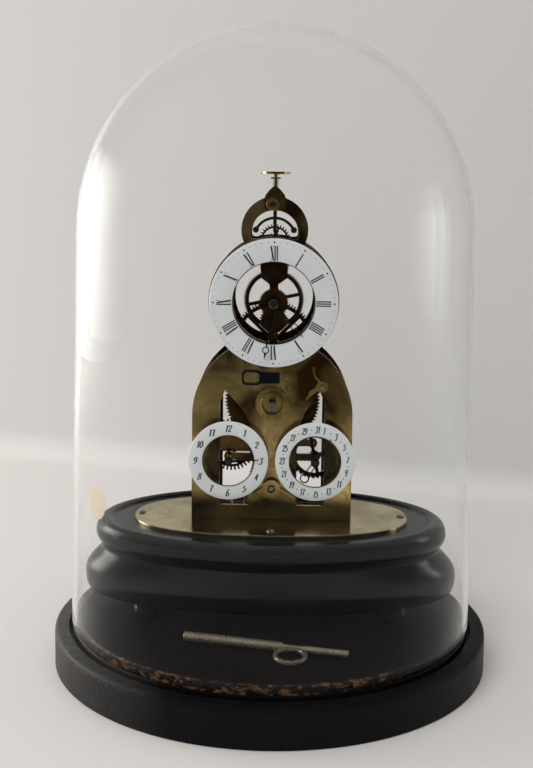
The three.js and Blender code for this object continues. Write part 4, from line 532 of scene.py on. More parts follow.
lamps = table("place aim size power tone mirrored", {
    "windowLeft": ((-1.7, 0.42, 0.42), (0, 0, 0.15), (1.4, 1.1), 39.0, "#fffdf8", True),
    "windowRight": ((1.7, 0.0, 0.42), (0, 0, 0.15), (0.8, 0.8), 9.0, "#f8faff", True),
    "frontFill": ((-0.9, -1.7, 1.7), (0, 0, 0.22), (1.8, 1.2), 30.0, "#fffefb", False),
    "ceiling": ((0.0, -0.1, 2.2), (0, 0.1, 0), (2.6, 2.0), 13.0, "#ffffff", False),
})
room = dict(tone="#dedddb", fill=0.42, through=0.45, seen=0.9, ahead=0.05, above=0.36)


def placeLamps():
    # area lamps; a mirrored one is a curtained window, bright in the middle: 16 u (1 - u) v (1 - v)
    for name, lamp in lamps.items():
        data = bpy.data.lights.new(name, "AREA")
        data.shape = "RECTANGLE"
        data.size, data.size_y = lamp["size"]
        data.energy = lamp["power"]
        data.color = toLinear(lamp["tone"])[:3]
        if lamp["mirrored"]:
            data.use_nodes = True
            tree = data.node_tree
            add = partial(put, tree)
            place = add("SeparateXYZ", (add("NewGeometry").outputs["Parametric"],)).outputs
            glow = 16.0
            for along in (place["X"], place["Y"]):
                rest = add("Math", (1.0, along), operation="SUBTRACT")
                hump = add("Math", (along, rest), operation="MULTIPLY")
                glow = add("Math", (hump, glow), operation="MULTIPLY")
            emission = next(node for node in tree.nodes if node.type == "EMISSION")
            tree.links.new(glow.outputs[0], emission.inputs["Strength"])
        obj = addObject(name, data)
        obj.location = lamp["place"]
        obj.visible_glossy = lamp["mirrored"]
        obj.rotation_euler = (Vector(lamp["aim"]) - Vector(lamp["place"])).to_track_quat("-Z", "Y").to_euler()


def lightRoom():
    # the camera sees pale grey; polished things see a room that is dim ahead and lighter overhead
    world = bpy.data.worlds.new("studio")
    bpy.context.scene.world = world
    world.use_nodes = True
    world.node_tree.nodes.clear()
    add = partial(put, world.node_tree)
    way = add("TexCoord").outputs["Generated"]
    slant = add("VectorMath", (way, (-0.35, 0.0, 1.0)), operation="DOT_PRODUCT")
    mirrored = add("MapRange", (slant, -0.2, 0.8, room["ahead"], room["above"]))
    rays = add("LightPath").outputs
    strength = room["fill"]
    for ray, level in (("Glossy", mirrored), ("Transmission", room["through"]), ("Camera", room["seen"])):
        strength = add("Mix", {"Factor": rays[f"Is {ray} Ray"], "A": strength, "B": level}, data_type="FLOAT")
    sky = add("Background", {"Color": room["tone"], "Strength": strength})
    add("OutputWorld", (sky,))


placeCamera()
backdrop()
placeLamps()
lightRoom()
bpy.context.scene.view_settings.view_transform = "Standard"
print("camera, backdrop and lamps placed")


base = dict(
    halfWidth=147, halfDepth=132, height=25, edge=2.6, chamfer=0.4, footChamfer=0.8,
    grooveFloor=20, grooveOuter=(137.4, 122.4), grooveInner=(131.6, 116.6),
    floorHalf=(130.4, 115.4), floorFoot=25.3, floorTop=31.3, floorEdge=1.6,
)


def rolledRim(a, d, z, e, count=7):
    # a quarter circle round an upper edge: a - e + e cos t, d - e + e cos t, z - e + e sin t
    t = np.linspace(0, quarter, count)
    return columns([a - e + e * np.cos(t), d - e + e * np.cos(t), z - e + e * np.sin(t)])


def baseRows():
    # underside, upright side with a rolled top edge, top rim, groove for the glass, top
    a, d, h, c, foot = (base[k] for k in ("halfWidth", "halfDepth", "height", "chamfer", "footChamfer"))
    side = columns([np.full(8, a), np.full(8, d), np.linspace(foot, h - base["edge"], 8)])
    (oa, od), (ia, ib), low = base["grooveOuter"], base["grooveInner"], base["grooveFloor"]
    top = [
        (a - 6, d - 6, h), (oa + c, od + c, h), (oa, od, h - c), (oa, od, low),
        (ia, ib, low), (ia, ib, h - c), (ia - c, ib - c, h), (0, 0, h),
    ]
    return chain([[(0, 0, 0), (a - foot, d - foot, 0)], side, rolledRim(a, d, h, base["edge"]), top])


def baseWear(p):
    # knocked at the rolled top edge and the foot: exp(-((z - 24) / 1.4)^2) and 0.8 exp(-(z / 2)^2)
    r = np.hypot(p[:, 0] / base["halfWidth"], p[:, 1] / base["halfDepth"])
    edge = np.exp(-((p[:, 2] - 24.0) / 1.4) ** 2) * (r > 0.97)
    return np.clip(edge + np.exp(-((p[:, 2]) / 2.0) ** 2) * 0.8, 0, 1)


def baseDust(p):
    # the left half has gathered dust, most of it at the rolled edge: clip((-x - 60) / 80) (0.55 + 0.45 edge)
    edge = np.exp(-((p[:, 2] - 24.0) / 2.5) ** 2)
    return np.clip((-p[:, 0] - 60) / 80, 0, 1) * (0.55 + 0.45 * edge)


def floorRows():
    # flat underside, rolled upper edge, and a top of twelve rows that shrink evenly to the middle
    (a, d), z, e = base["floorHalf"], base["floorTop"], base["floorEdge"]
    inner = np.linspace(1, 0, 12)[:, None] * (a - e - 0.6, d - e - 0.6)
    foot = [(0, 0, base["floorFoot"]), (a, d, base["floorFoot"])]
    return chain([foot, rolledRim(a, d, z, e), columns([inner, np.full(12, z)])])


def floorWear(p):
    # rubbed through along the rolled edge, (r - 0.945) / 0.045, most at the front left
    r = np.hypot(p[:, 0] / base["floorHalf"][0], p[:, 1] / base["floorHalf"][1])
    front = np.clip(0.55 - p[:, 1] / 200 - p[:, 0] / 700, 0.2, 1)
    return np.clip((r - 0.945) / 0.045, 0, 1) * front


for name, node, rows, finish, marks in (
    ("turnedBoard", "base_board", baseRows(), "board", [("wear", baseWear), ("dust", baseDust)]),
    ("raisedFloorBoard", "raised_floor", floorRows(), "floor", [("wear", floorWear)]),
):
    piece(name, oval(rows), "clock", wood[finish], [node], 40, marks)

plinth = dict(
    setBack=8, halfWidth=107.2, halfDepth=61.5, foot=41.8, top=92.0,
    feet=(83.6, 30.75), footRadius=8, cavity=(60, 34, 54.0), rim=(3.4, 1.4),
)


def plinthRows():
    # moulding from the foot upwards: bead at the bottom, big torus, hollow neck, rounded rim and sunk flat top
    a, d, z0, z1 = plinth["halfWidth"], plinth["halfDepth"], plinth["foot"], plinth["top"]
    steps = [
        (16.8, -14, z0), (19.6, -9.5, z0 + 1.6), (21.8, -6.3, 47.2), (22.8, -4.5, 53.5), (22.0, -4.4, 59.3),
        (19.0, -4.3, 64.3), (14.6, -4.2, 68.9), (11.7, -4.1, 72.0), (10.8, -4.0, 74.2), (11.6, -1.6, 76.6),
        (13.4, 2.2, 79.6), (14.6, 4.4, 83.2), (14.4, 4.4, 87.0), (13.0, 4.1, 90.6), (10.6, 3.5, 93.0),
        (7.6, 2.6, 94.2), (4.8, 1.8, 93.9), (3.0, 1.2, 93.0), (2.2, 0.9, z1),
    ]
    wide, deep, roof = plinth["cavity"]
    inside = [(a - 10, d - 10, z1), (wide, deep, z1), (wide, deep, roof), (0, 0, roof)]
    return chain([[(0, 0, z0)], smoothLine(steps, 5) + (a, d, 0), inside])


def footPart(x, y):
    # bun foot: radius r (0.7 + 0.3 cos t), height along a half wave
    z0, z1 = base["floorTop"] + 0.3, plinth["foot"] + 0.3
    r = plinth["footRadius"]
    t = np.linspace(-quarter, quarter, 13)
    ball = columns([r * 0.7 + r * 0.3 * np.cos(t), (z0 + z1) / 2 + (z1 - z0) / 2 * np.sin(t)])
    return upright(chain([[(0, z0)], ball, [(0, z1)]]), x, y, 32)


def topDust(p):
    # painted highlight: a pale film on the rim, 9 h - 7.9 of the relative height h, lifts it against the sunk top
    # inside, which gets none
    wide, deep = plinth["rim"]
    x, y = p[:, 0] / (plinth["halfWidth"] + wide), (p[:, 1] - plinth["setBack"]) / (plinth["halfDepth"] + deep)
    height = (p[:, 2] - p[:, 2].min()) / np.ptp(p[:, 2])
    return np.where(np.hypot(x, y) < 1, 0, np.clip(height * 9 - 7.9, 0, 1))


fx, fy = plinth["feet"]
feet = [footPart(sx * fx, plinth["setBack"] + sy * fy) for sx in (-1, 1) for sy in (-1, 1)]
plinthPart = joinMeshes([oval(plinthRows(), plinth["setBack"]), *feet])
piece("mouldedPlinth", plinthPart, "clock", wood["plinth"], ["plinth"], 50, [("dust", topDust)])

brassBase = dict(halfWidth=94.5, halfDepth=45, foot=92.3, top=94.3, squareness=2.3, edge=0.5)


def brassBaseRows():
    # flat oval plate with a rolled upper edge
    a, d, z0, z1 = brassBase["halfWidth"], brassBase["halfDepth"], brassBase["foot"], brassBase["top"]
    rolled = rolledRim(a, d, z1, brassBase["edge"], 5)
    return chain([[(0, 0, z0), (a, d, z0)], rolled, [(a - 3, d - 3, z1), (0, 0, z1)]])


ovalPlate = oval(brassBaseRows(), plinth["setBack"], brassBase["squareness"])
piece("ovalBrassPlate", ovalPlate, "clock", brass["pale"], ["base_plate"])

# places: x, y and the turn of the slot
baseScrews = dict(
    radius=2.5, height=1.4, slot=0.16,
    places=[(-90.1, 8.0, 30), (90.1, 8.0, 70), (0.0, -28.2, 100)],
)


def screwHead(x, y, degrees):
    # low dome, radius cos t by height (0.35 + 0.65 sin t), with a sawn slot: a lowered strip across it
    radius, height, z = baseScrews["radius"], baseScrews["height"], brassBase["top"]
    t = np.linspace(0, quarter, 7)
    cap = columns([radius * np.cos(t), z + height * (0.35 + 0.65 * np.sin(t))])
    points, faces = upright(chain([[(0, z - 0.4), (radius, z - 0.4)], cap]), x, y, 32)
    aside = np.abs(rotated(points[:, 0] - x, points[:, 1] - y, -degrees)[1])
    sawn = (aside < radius * baseScrews["slot"]) & (points[:, 2] > z + height * 0.4)
    points[:, 2] -= np.where(sawn, height * 0.45, 0)
    return points, faces


heads = joinMeshes([screwHead(*place) for place in baseScrews["places"]])
piece("baseScrewHeads", heads, "clock", steel["bright"])
print("base, floor, plinth and brass plate made")

dome = dict(
    halfWidth=136, halfDepth=121, wall=3.0, foot=20.3, lip=1.2,
    spring=292, crown=136, taper=4.0,
)


def domeHalf(z, inward=0.0):
    # half width and half depth of the wall: both shrink in a straight line from the foot to the spring of the crown
    share = np.clip((z - dome["foot"]) / (dome["spring"] - dome["foot"]), 0, 1)
    less = dome["taper"] * share + inward
    return dome["halfWidth"] - less, dome["halfDepth"] - less


def domePart():
    # outside from the foot up to the crown, the inside down again, and a lip that is fire-polished round
    w, foot, spring = dome["wall"], dome["foot"] + dome["lip"], dome["spring"]
    up = np.linspace(foot, spring, 24)
    t = np.linspace(0, quarter, 48)[1:]
    sides = []
    for inward in (0, w):
        a, d = domeHalf(spring, inward)
        cap = columns([a * np.cos(t), d * np.cos(t), spring + (dome["crown"] - inward) * np.sin(t)])
        sides.append(chain([columns([*domeHalf(up, inward), up]), cap]))
    s = np.linspace(0, math.pi, 7)[1:-1]
    less = w / 2 + w / 2 * np.cos(s)
    lip = columns([dome["halfWidth"] - less, dome["halfDepth"] - less, foot - dome["lip"] * np.sin(s)])
    return oval(chain([sides[0], sides[1][::-1], lip]), closed=True)


label = dict(turn=216.7, z=125.4, radius=10.4, lift=0.02, thickness=0.12)


def labelPart():
    # a disc laid on the oval wall: its polar grid is wrapped round the glass
    r = np.linspace(0, label["radius"], 8)[:, None]
    t = around(48)
    along, z = r * np.cos(t), label["z"] + r * np.sin(t)
    a, d = domeHalf(z)
    start = math.radians(label["turn"])
    angle = start + along / math.hypot(dome["halfWidth"] * math.sin(start), dome["halfDepth"] * math.cos(start))
    inner, outer = (
        np.stack([(a + out) * np.cos(angle), (d + out) * np.sin(angle), z], 2)
        for out in (label["lift"], label["lift"] + label["thickness"])
    )
    return rowFaces(chain([inner, outer[::-1]]))


piece("ovalGlassDome", domePart(), "dome", glass, ["glass_dome"], 60)
piece("paperLabel", labelPart(), "dome", paper)
print("dome made")

plates = dict(
    frontFace=-4.0, thickness=2.6, rearFace=36.4, edge=0.25,
    halfWidth=54.5, foot=94.6, shoulder=166.3, dialHeight=244.65, dialRadius=44, dialOpening=27.5,
    ringHeight=292.8, ringRadius=22.3, ringOpening=16.2, ringTop=305.8, ringFoot=288.4, ringCorner=4,
    windowFoot=104.5, windowSide=(35.6, 176.0), windowApex=(32.0, 184.0), windowPull=(1.9, 168.0),
    windowSpring=152.0, windowInner={-1: 13.0, 1: 17.0},
)
frontY = (plates["frontFace"], plates["frontFace"] + plates["thickness"])
rearY = (plates["rearFace"], plates["rearFace"] + plates["thickness"])
# x, z and radius of each bored hole
frontDrills = [
    (0, 175.6, 2.2), (0, 117.2, 1.9), (0, 212.4, 1.1), (7.63, 275.47, 1.1), (0, 285.5, 1.1), (0, 310, 1.3),
    (-10.44, 102.29, 1.1), (-18.44, 102.29, 1.1), (-27.84, 102.29, 1.1),
]
rearDrills = frontDrills + [(s * x, z, 1.9) for s in (-1, 1) for x, z in ((45.5, 101.5), (40, 186))]


def crossing(lowHeight, lowRadius, highHeight, highRadius):
    # half width and height at which two circles on the middle line cross
    apart = highHeight - lowHeight
    up = (apart ** 2 + lowRadius ** 2 - highRadius ** 2) / (2 * apart)
    return math.sqrt(lowRadius ** 2 - up ** 2), lowHeight + up


def bearing(point, height):
    # angle of a point about a centre on the middle line
    return math.atan2(point[1] - height, point[0])


def plateOutlines(drills):
    # three circles stacked on the middle line and joined where they cross, less the openings and the bored holes
    p = plates
    low, dial, ring = p["shoulder"], p["dialHeight"], p["ringHeight"]
    waist = crossing(low, p["halfWidth"], dial, p["dialRadius"])
    neck = crossing(dial, p["dialRadius"], ring, p["ringRadius"])
    side = chain([
        [(p["halfWidth"], p["foot"])],
        arc(0, low, p["halfWidth"], 0, bearing(waist, low), 40),
        arc(0, dial, p["dialRadius"], bearing(waist, dial), bearing(neck, dial), 50)[1:],
        arc(0, ring, p["ringRadius"], bearing(neck, ring), quarter, 40)[1:],
    ])
    rise = p["ringFoot"] - dial
    reach = math.asin((p["ringOpening"] - p["ringCorner"]) / rise)
    floorEdge = arc(0, dial, rise, quarter, quarter - reach, 12)
    roof = arc(0, p["ringTop"] - p["ringOpening"], p["ringOpening"], 0, quarter, 24)
    bend = softened([floorEdge[-1], floorEdge[-1] + (p["ringCorner"] * 0.9, 0.2), roof[0]], 2.4, 6)[1:-1]
    right = chain([floorEdge, bend, roof])
    holes = [circle(0, dial, p["dialOpening"], 96), chain([right, right[1:-1][::-1] * (-1, 1)])]
    s = np.linspace(0, 1, 20)[:, None]
    for sign, inner in p["windowInner"].items():
        # pointed window, its inner edge a parabola: (1 - s)^2 apex + 2 s (1 - s) pull + s^2 spring
        pull = np.array((inner + p["windowPull"][0], p["windowPull"][1]))
        curve = (1 - s) ** 2 * p["windowApex"] + 2 * s * (1 - s) * pull + s ** 2 * (inner, p["windowSpring"])
        foot = [(inner, p["windowFoot"]), (p["windowSide"][0], p["windowFoot"]), p["windowSide"]]
        holes.append(chain([foot, curve]) * (sign, 1))
    return [chain([side, side[:-1][::-1] * (-1, 1)]), *holes, *(circle(x, z, r, 16) for x, z, r in drills)]


# x, z, radius and the y at which the head begins
leverScrews = [(9.4, 193.6, 1.4, -6.3), (33.4, 187.4, 1.5, -5.8)]


def pivotScrew(x, z, radius, y):
    # shouldered screw that stands out of the front plate: shank of half the radius, then a dome radius by radius / 2
    t = np.linspace(0, quarter, 6)
    head = columns([radius * np.cos(t), y - radius * 0.5 * np.sin(t)])
    shank = [(0, frontY[0] + 0.3), (radius * 0.5, frontY[0] + 0.3), (radius * 0.5, y)]
    return turned(chain([shank, head]), x, z, 24)


shieldPlate = dict(x=(-36.4, -12.4), z=(141.2, 153.6), y=(-1.05, -0.45), corner=1.2, edge=0.08)


def shieldPart():
    # thin cover behind the upper half of the left window, its corners cut to small parabolas
    (x0, x1), (z0, z1) = shieldPlate["x"], shieldPlate["z"]
    middle = ((x0 + x1) / 2, z1)
    outline = softened([middle, (x0, z1), (x0, z0), (x1, z0), (x1, z1), middle], shieldPlate["corner"])[:-1]
    return cutSheet([outline], *shieldPlate["y"], shieldPlate["edge"])


frontSheet = cutSheet(plateOutlines(frontDrills), *frontY, plates["edge"])
rearSheet = cutSheet(plateOutlines(rearDrills), *rearY, plates["edge"])
piece("frontPlateSheet", frontSheet, "clock", brass["plate"], ["front_plate"])
piece("rearPlateSheet", rearSheet, "clock", brass["dim"], ["rear_plate"])
piece("leverScrews", joinMeshes([pivotScrew(*screw) for screw in leverScrews]), "clock", steel["bright"])
piece("windowShield", shieldPart(), "clock", brass["dim"])
print("plates made")

# figures: circle or band they stand on; feet: circle and angles of the three feet
mainDial = dict(
    x=0.0, z=244.65, outer=43.0, inner=27.5, front=-13.2, back=-12.0, fall=0.45, rim=0.25,
    feet=(36, (30, 150, 270)), figures=(28.3, 37.9), dots=40.4,
)
alarmDial = dict(
    x=-29.2, z=137.6, outer=26.9, inner=17.4, front=-13.2, back=-12.0, fall=0.45, rim=0.25,
    feet=(22, (-39.6, -140.4, 180)), figures=22.1, height=4.5, squeeze=0.86,
)
dateDial = dict(alarmDial, x=29.2, feet=(22, (-39.6, -140.4, 0)), figures=22.2, squeeze=0.66, dots=22.3)
dialFoot = dict(radius=1.2, start=-12.2, end=-4.3)
lining = dict(inside=0.3, outside=0.15, y=(-12.4, -13.1), edge=0.1)
paintLift = 0.03


def dialFace(d, r):
    # the enamel is highest midway between its edges and falls off with the square of the distance
    middle, half = (d["outer"] + d["inner"]) / 2, (d["outer"] - d["inner"]) / 2
    return d["front"] + d["fall"] * ((r - middle) / half) ** 2


def dialPart(d):
    # ring with a flat back, upright edges and the domed face
    r = np.linspace(d["inner"] + d["rim"], d["outer"] - d["rim"], 14)
    edgeY = dialFace(d, d["inner"]) + d["rim"]
    rim = [(d["outer"], edgeY), (d["outer"], d["back"]), (d["inner"], d["back"]), (d["inner"], edgeY)]
    return turned(chain([rim, columns([r, dialFace(d, r)])]), d["x"], d["z"], 160, True)


def dialFeet(d):
    # three round feet on a circle behind the ring
    away, turns = d["feet"]
    r, y0, y1 = (dialFoot[k] for k in ("radius", "start", "end"))
    profile = [(0, y0), (r, y0), (r, y1), (0, y1)]
    places = [(d["x"] + away * math.cos(math.radians(a)), d["z"] + away * math.sin(math.radians(a))) for a in turns]
    return joinMeshes([turned(profile, x, z, 16) for x, z in places])


def dialLining(d):
    # thin brass ring inside the opening, its four edges rounded
    r0, r1, (y0, y1) = d["inner"] - lining["inside"], d["inner"] + lining["outside"], lining["y"]
    section = softened([(r0, y0), (r0, y1), (r1, y1), (r1, y0), (r0, y0)], lining["edge"], 2)[:-1]
    return turned(section, d["x"], d["z"], 160, True)


for name, node, d in (
    ("mainEnamelDial", "main_dial", mainDial),
    ("alarmEnamelDial", "alarm_dial", alarmDial),
    ("dateEnamelDial", "date_dial", dateDial),
):
    piece(name, dialPart(d), "clock", enamel, [node], 30)
    piece(name + "Feet", dialFeet(d), "clock", brass["wheel"], (), 30)
    piece(name + "Lining", dialLining(d), "clock", brass["wheel"], (), 30)


def onDial(d, x, z):
    # points just in front of the dial face
    return np.stack([d["x"] + x, dialFace(d, np.hypot(x, z)) - paintLift, d["z"] + z], -1)


def strokePatches(d, strokes):
    # each stroke is a strip (x0, z0, x1, z1, width) laid on the dial face in nine steps
    points, faces = [], []
    s = np.linspace(0, 1, 9)
    i = np.arange(8)
    for n, (x0, z0, x1, z1, width) in enumerate(strokes):
        length = math.hypot(x1 - x0, z1 - z0)
        nx, nz = -(z1 - z0) / length * width / 2, (x1 - x0) / length * width / 2
        points += [onDial(d, x0 + (x1 - x0) * s + side * nx, z0 + (z1 - z0) * s + side * nz) for side in (-1, 1)]
        start = n * 18
        faces += columns([start + i, start + i + 1, start + i + 10, start + i + 9]).tolist()
    return chain(points), faces


hours = ["I", "II", "III", "IIII", "V", "VI", "VII", "VIII", "IX", "X", "XI", "XII"]
romanForms = {
    # strokes in units of the figure's height: x0, y0, x1, y1, width; the last number is the step to the next letter
    "I": ([(0, 0, 0, 1, 0.088), (-0.06, 0.012, 0.06, 0.012, 0.022), (-0.06, 0.988, 0.06, 0.988, 0.022)], 0.148),
    "V": ([
        (-0.09, 1, 0.01, 0, 0.105), (0.1, 1, 0.01, 0, 0.02),
        (-0.15, 0.988, -0.03, 0.988, 0.022), (0.05, 0.988, 0.15, 0.988, 0.022)], 0.25),
    "X": ([
        (-0.09, 1, 0.09, 0, 0.105), (0.09, 1, -0.09, 0, 0.02),
        (-0.15, 0.988, -0.03, 0.988, 0.022), (0.03, 0.988, 0.14, 0.988, 0.022),
        (-0.14, 0.012, -0.03, 0.012, 0.022), (0.03, 0.012, 0.15, 0.012, 0.022)], 0.24),
}


def romanStrokes(text, hour):
    # letters side by side, feet towards the centre, turned to their hour
    inner, outer = mainDial["figures"]
    steps = [romanForms[c][1] for c in text]
    middles = np.cumsum(steps) - np.array(steps) / 2 - sum(steps) / 2
    height = outer - inner
    out = []
    for c, middle in zip(text, middles):
        for x0, y0, x1, y1, width in romanForms[c][0]:
            ends = (rotated((middle + x) * height, inner + y * height, hour * -30) for x, y in ((x0, y0), (x1, y1)))
            out.append((*sum(ends, ()), width * height))
    return out


def dots(d, turns, sizes):
    # flat discs of twelve corners on the dial face
    t = around(12)
    a, size = np.asarray(turns)[:, None], np.asarray(sizes)[:, None]
    x, z = d["dots"] * np.sin(a) + size * np.cos(t), d["dots"] * np.cos(a) + size * np.sin(t)
    points = onDial(d, x, z).reshape(-1, 3)
    return points, (np.arange(len(points)).reshape(-1, 12)[:, ::-1]).tolist()


digitForms = {
    # pen paths in hundredths of the figure's height: x y x y and so on; a bar starts the next path
    "0": "26 100 8 80 3 50 8 20 25 0 42 20 47 50 42 80 26 100",
    "1": "10 80 20 86 30 100|30 100 30 0|14 1 45 1",
    "2": "5 72 10 92 27 100 43 88 42 68 25 40 4 3|4 5 20 10 36 2 48 16",
    "3": "6 82 16 97 30 100 43 86 38 64 20 53|20 53 40 46 46 25 34 5 18 0 4 14",
    "4": "36 100 2 30|2 30 50 30|36 100 36 0",
    "5": "44 97 14 95|14 95 10 58|10 58 28 62 44 50 45 25 33 5 16 0 3 14",
    "6": "42 90 28 100 12 80 4 45 8 12 24 0 42 12 45 36 30 55 12 48 5 35",
    "7": "4 84 12 96 46 95|46 95 26 50 18 0",
    "8": "26 52 8 68 10 90 27 100 42 88 40 68 26 52 6 36 4 12 24 0 44 12 44 36 26 52",
    "9": "8 10 22 0 38 20 46 55 42 88 26 100 8 88 5 64 20 45 38 52 45 65",
}
penStyle = dict(thin=0.06, thick=0.24, slant=0.26, step=0.56)


def penStrip(path):
    # a ribbon along the path, thin on the level and thick on the upright: thin + (thick - thin) |dz / ds|^1.5
    line = smoothLine(path, 6)
    along = np.gradient(line, axis=0)
    along /= np.linalg.norm(along, axis=1)[:, None]
    half = (penStyle["thin"] + (penStyle["thick"] - penStyle["thin"]) * np.abs(along[:, 1]) ** 1.5) / 2
    across = columns([-along[:, 1], along[:, 0]]) * half[:, None]
    return chain([line + across, line - across])


def figurePart(d, number, angle):
    # one number, upright and slanting, centred on its place; every ribbon is laid on the dial face
    strips, text = [], str(number)
    wide = (len(text) - 1) * penStyle["step"] + 0.5
    for place, digit in enumerate(text):
        for path in digitForms[digit].split("|"):
            both = penStrip(np.array(path.split(), float).reshape(-1, 2) / 100)
            x = both[:, 0] + place * penStyle["step"] - wide / 2 + (both[:, 1] - 0.5) * penStyle["slant"]
            x = x * d["squeeze"] * d["height"] + d["figures"] * math.sin(angle)
            z = (both[:, 1] - 0.5) * d["height"] + d["figures"] * math.cos(angle)
            n = len(both) // 2
            i = np.arange(n - 1)
            strips.append((onDial(d, x, z), columns([i, i + n, i + n + 1, i + 1]).tolist()))
    return joinMeshes(strips)


def paint(name, part):
    # painted figures are open sheets that face forwards
    points, faces = part
    mesh = bpy.data.meshes.new(name)
    mesh.from_pydata((points * mm).tolist(), [], faces)
    if readMesh(mesh.polygons, "normal")[:, 1].mean() > 0:
        mesh.flip_normals()
    coat(mesh, dialInk)
    obj = addObject(name, mesh)
    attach(obj, "clock")


def dayTurn(day):
    # the 31 days share the circle evenly, four degrees on from the top
    return math.radians(day * 360 / 31 + 4)


minutes = np.arange(60)
minuteSizes = np.where(minutes % 5 == 0, 0.62, 0.3)
paint("hourFigures", strokePatches(mainDial, sum((romanStrokes(text, i + 1) for i, text in enumerate(hours)), [])))
paint("minuteDots", dots(mainDial, minutes * fullTurn / 60, minuteSizes))
paint("alarmFigures", joinMeshes([figurePart(alarmDial, hour, hour * math.pi / 6) for hour in range(1, 13)]))
paint("dateFigures", joinMeshes([figurePart(dateDial, day, dayTurn(day)) for day in range(1, 32, 2)]))
paint("dateDots", dots(dateDial, [dayTurn(day) for day in range(2, 32, 2)], np.full(15, 0.42)))
print("dials painted")

handPlanes = dict(hour=-15.4, minute=-17.4, thickness=0.6, edge=0.18)
minuteHand = dict(
    length=38, hub=3.3, bore=1.6, moon=31.2, moonRadius=2.4, moonWidth=0.7, root=1.0, tip=0.5,
    angle=189,
)
hourHand = dict(minuteHand, length=30, hub=4.5, bore=2.7, moon=20.6, root=1.1, angle=138)
# blades: start, end, half width at the start and at the end, shift aside; rings: height, outer and inner radius
alarmHand = dict(blades=[(2.5, 20.5, 0.9, 0.3, 0), (-2.5, -7.0, 0.9, 0.4, 0)], rings=[(0, 2.8, 1.25)], angle=86)
dateHand = dict(
    blades=[(2.7, 19.3, 0.9, 0.3, 0), (-2.0, -10.6, 0.36, 0.36, -1.5), (-2.0, -10.6, 0.36, 0.36, 1.5)],
    rings=[(0, 3.0, 1.25), (-12.8, 3.2, 2.3)], angle=33,
)


def bladePart(x, z, start, end, rootHalf, tipHalf, y0):
    # a blade with a ridge, edges thinner than the middle; half width root + (tip - root) s^0.8
    y1 = y0 + handPlanes["thickness"]
    s = np.linspace(0, 1, 14)
    half = rootHalf + (tipHalf - rootHalf) * s ** 0.8
    up = z + start + (end - start) * s
    rim = y0 + 0.42 * handPlanes["thickness"]
    corners = ((-1, rim), (0, y0), (1, rim), (1, y1), (-1, y1))
    rows = np.stack([columns([x + side * half, np.full(14, y), up]) for side, y in corners], 1)
    ends = np.stack([np.repeat(rows[i].mean(0)[None], 5, 0) for i in (0, -1)])
    return rowFaces(chain([ends[:1], rows, ends[1:]]))


def ringPart(x, z, outer, inner, y0, y1):
    # a flat ring whose four edges are rounded
    middle = (inner, (y0 + y1) / 2)
    corners = [middle, (inner, y0), (outer, y0), (outer, y1), (inner, y1), middle]
    return turned(softened(corners, handPlanes["edge"], 3)[:-1], x, z, 40, True)


cockCap = dict(
    x=-1.6, z=310.0, outer=4.25, inner=2.3, reach=4.9, proud=0.45, thickness=0.75,
    screw=1.5, screwHeight=0.4,
)
capBack = frontY[0] - cockCap["reach"]


def cockScrewPart():
    # domed head in the middle of the cap: radius cos t, height sin t
    t = np.linspace(0, quarter, 6)
    head = columns([cockCap["screw"] * np.cos(t), capBack - cockCap["screwHeight"] * np.sin(t)])
    shank = [(0, capBack + 0.3), (cockCap["screw"], capBack + 0.3)]
    return turned(chain([shank, head]), cockCap["x"], cockCap["z"], 24)


def cockCapPart():
    # thin ring on the boss of the cock
    front = capBack - cockCap["proud"]
    radii = cockCap["outer"], cockCap["inner"]
    return ringPart(cockCap["x"], cockCap["z"], *radii, front, front + cockCap["thickness"])


piece("cockBossCap", cockCapPart(), "clock", brass["gilt"])
piece("cockBossScrew", cockScrewPart(), "clock", steel["dim"])


def moonHandPart(h, y0):
    # blade from the hub to the open moon, the moon, and a point beyond it, turned to its time
    x, z, y1 = mainDial["x"], mainDial["z"], y0 + handPlanes["thickness"]
    blade = bladePart(x, z, h["hub"] - 0.3, h["moon"] - h["moonRadius"] + 0.3, h["root"], h["tip"], y0)
    point = bladePart(x, z, h["moon"] + h["moonRadius"] - 0.3, h["length"], h["root"] * 0.9, 0.06, y0)
    moon = ringPart(x, z + h["moon"], h["moonRadius"], h["moonRadius"] - h["moonWidth"], y0, y1)
    hub = ringPart(x, z, h["hub"], h["bore"], y0, y1)
    return turnPart(joinMeshes([blade, point, moon, hub]), h["angle"], x, z)


def smallHandPart(h, d):
    # blades and rings on the small dial's middle, turned to their reading
    x, z, y0 = d["x"], d["z"], handPlanes["hour"]
    parts = [bladePart(x + aside, z, start, end, root, tip, y0) for start, end, root, tip, aside in h["blades"]]
    parts += [ringPart(x, z + up, outer, inner, y0, y0 + handPlanes["thickness"]) for up, outer, inner in h["rings"]]
    return turnPart(joinMeshes(parts), h["angle"], x, z)


for name, part, body, node in (
    ("minuteMoonHand", moonHandPart(minuteHand, handPlanes["minute"]), "minutes", "minute_hand"),
    ("hourMoonHand", moonHandPart(hourHand, handPlanes["hour"]), "hours", "hour_hand"),
    ("alarmHandPiece", smallHandPart(alarmHand, alarmDial), "alarm_setting", "alarm_hand"),
    ("dateHandPiece", smallHandPart(dateHand, dateDial), "date", "date_hand"),
):
    piece(name, part, body, steel["blued"], [node], 30)
print("hands made")

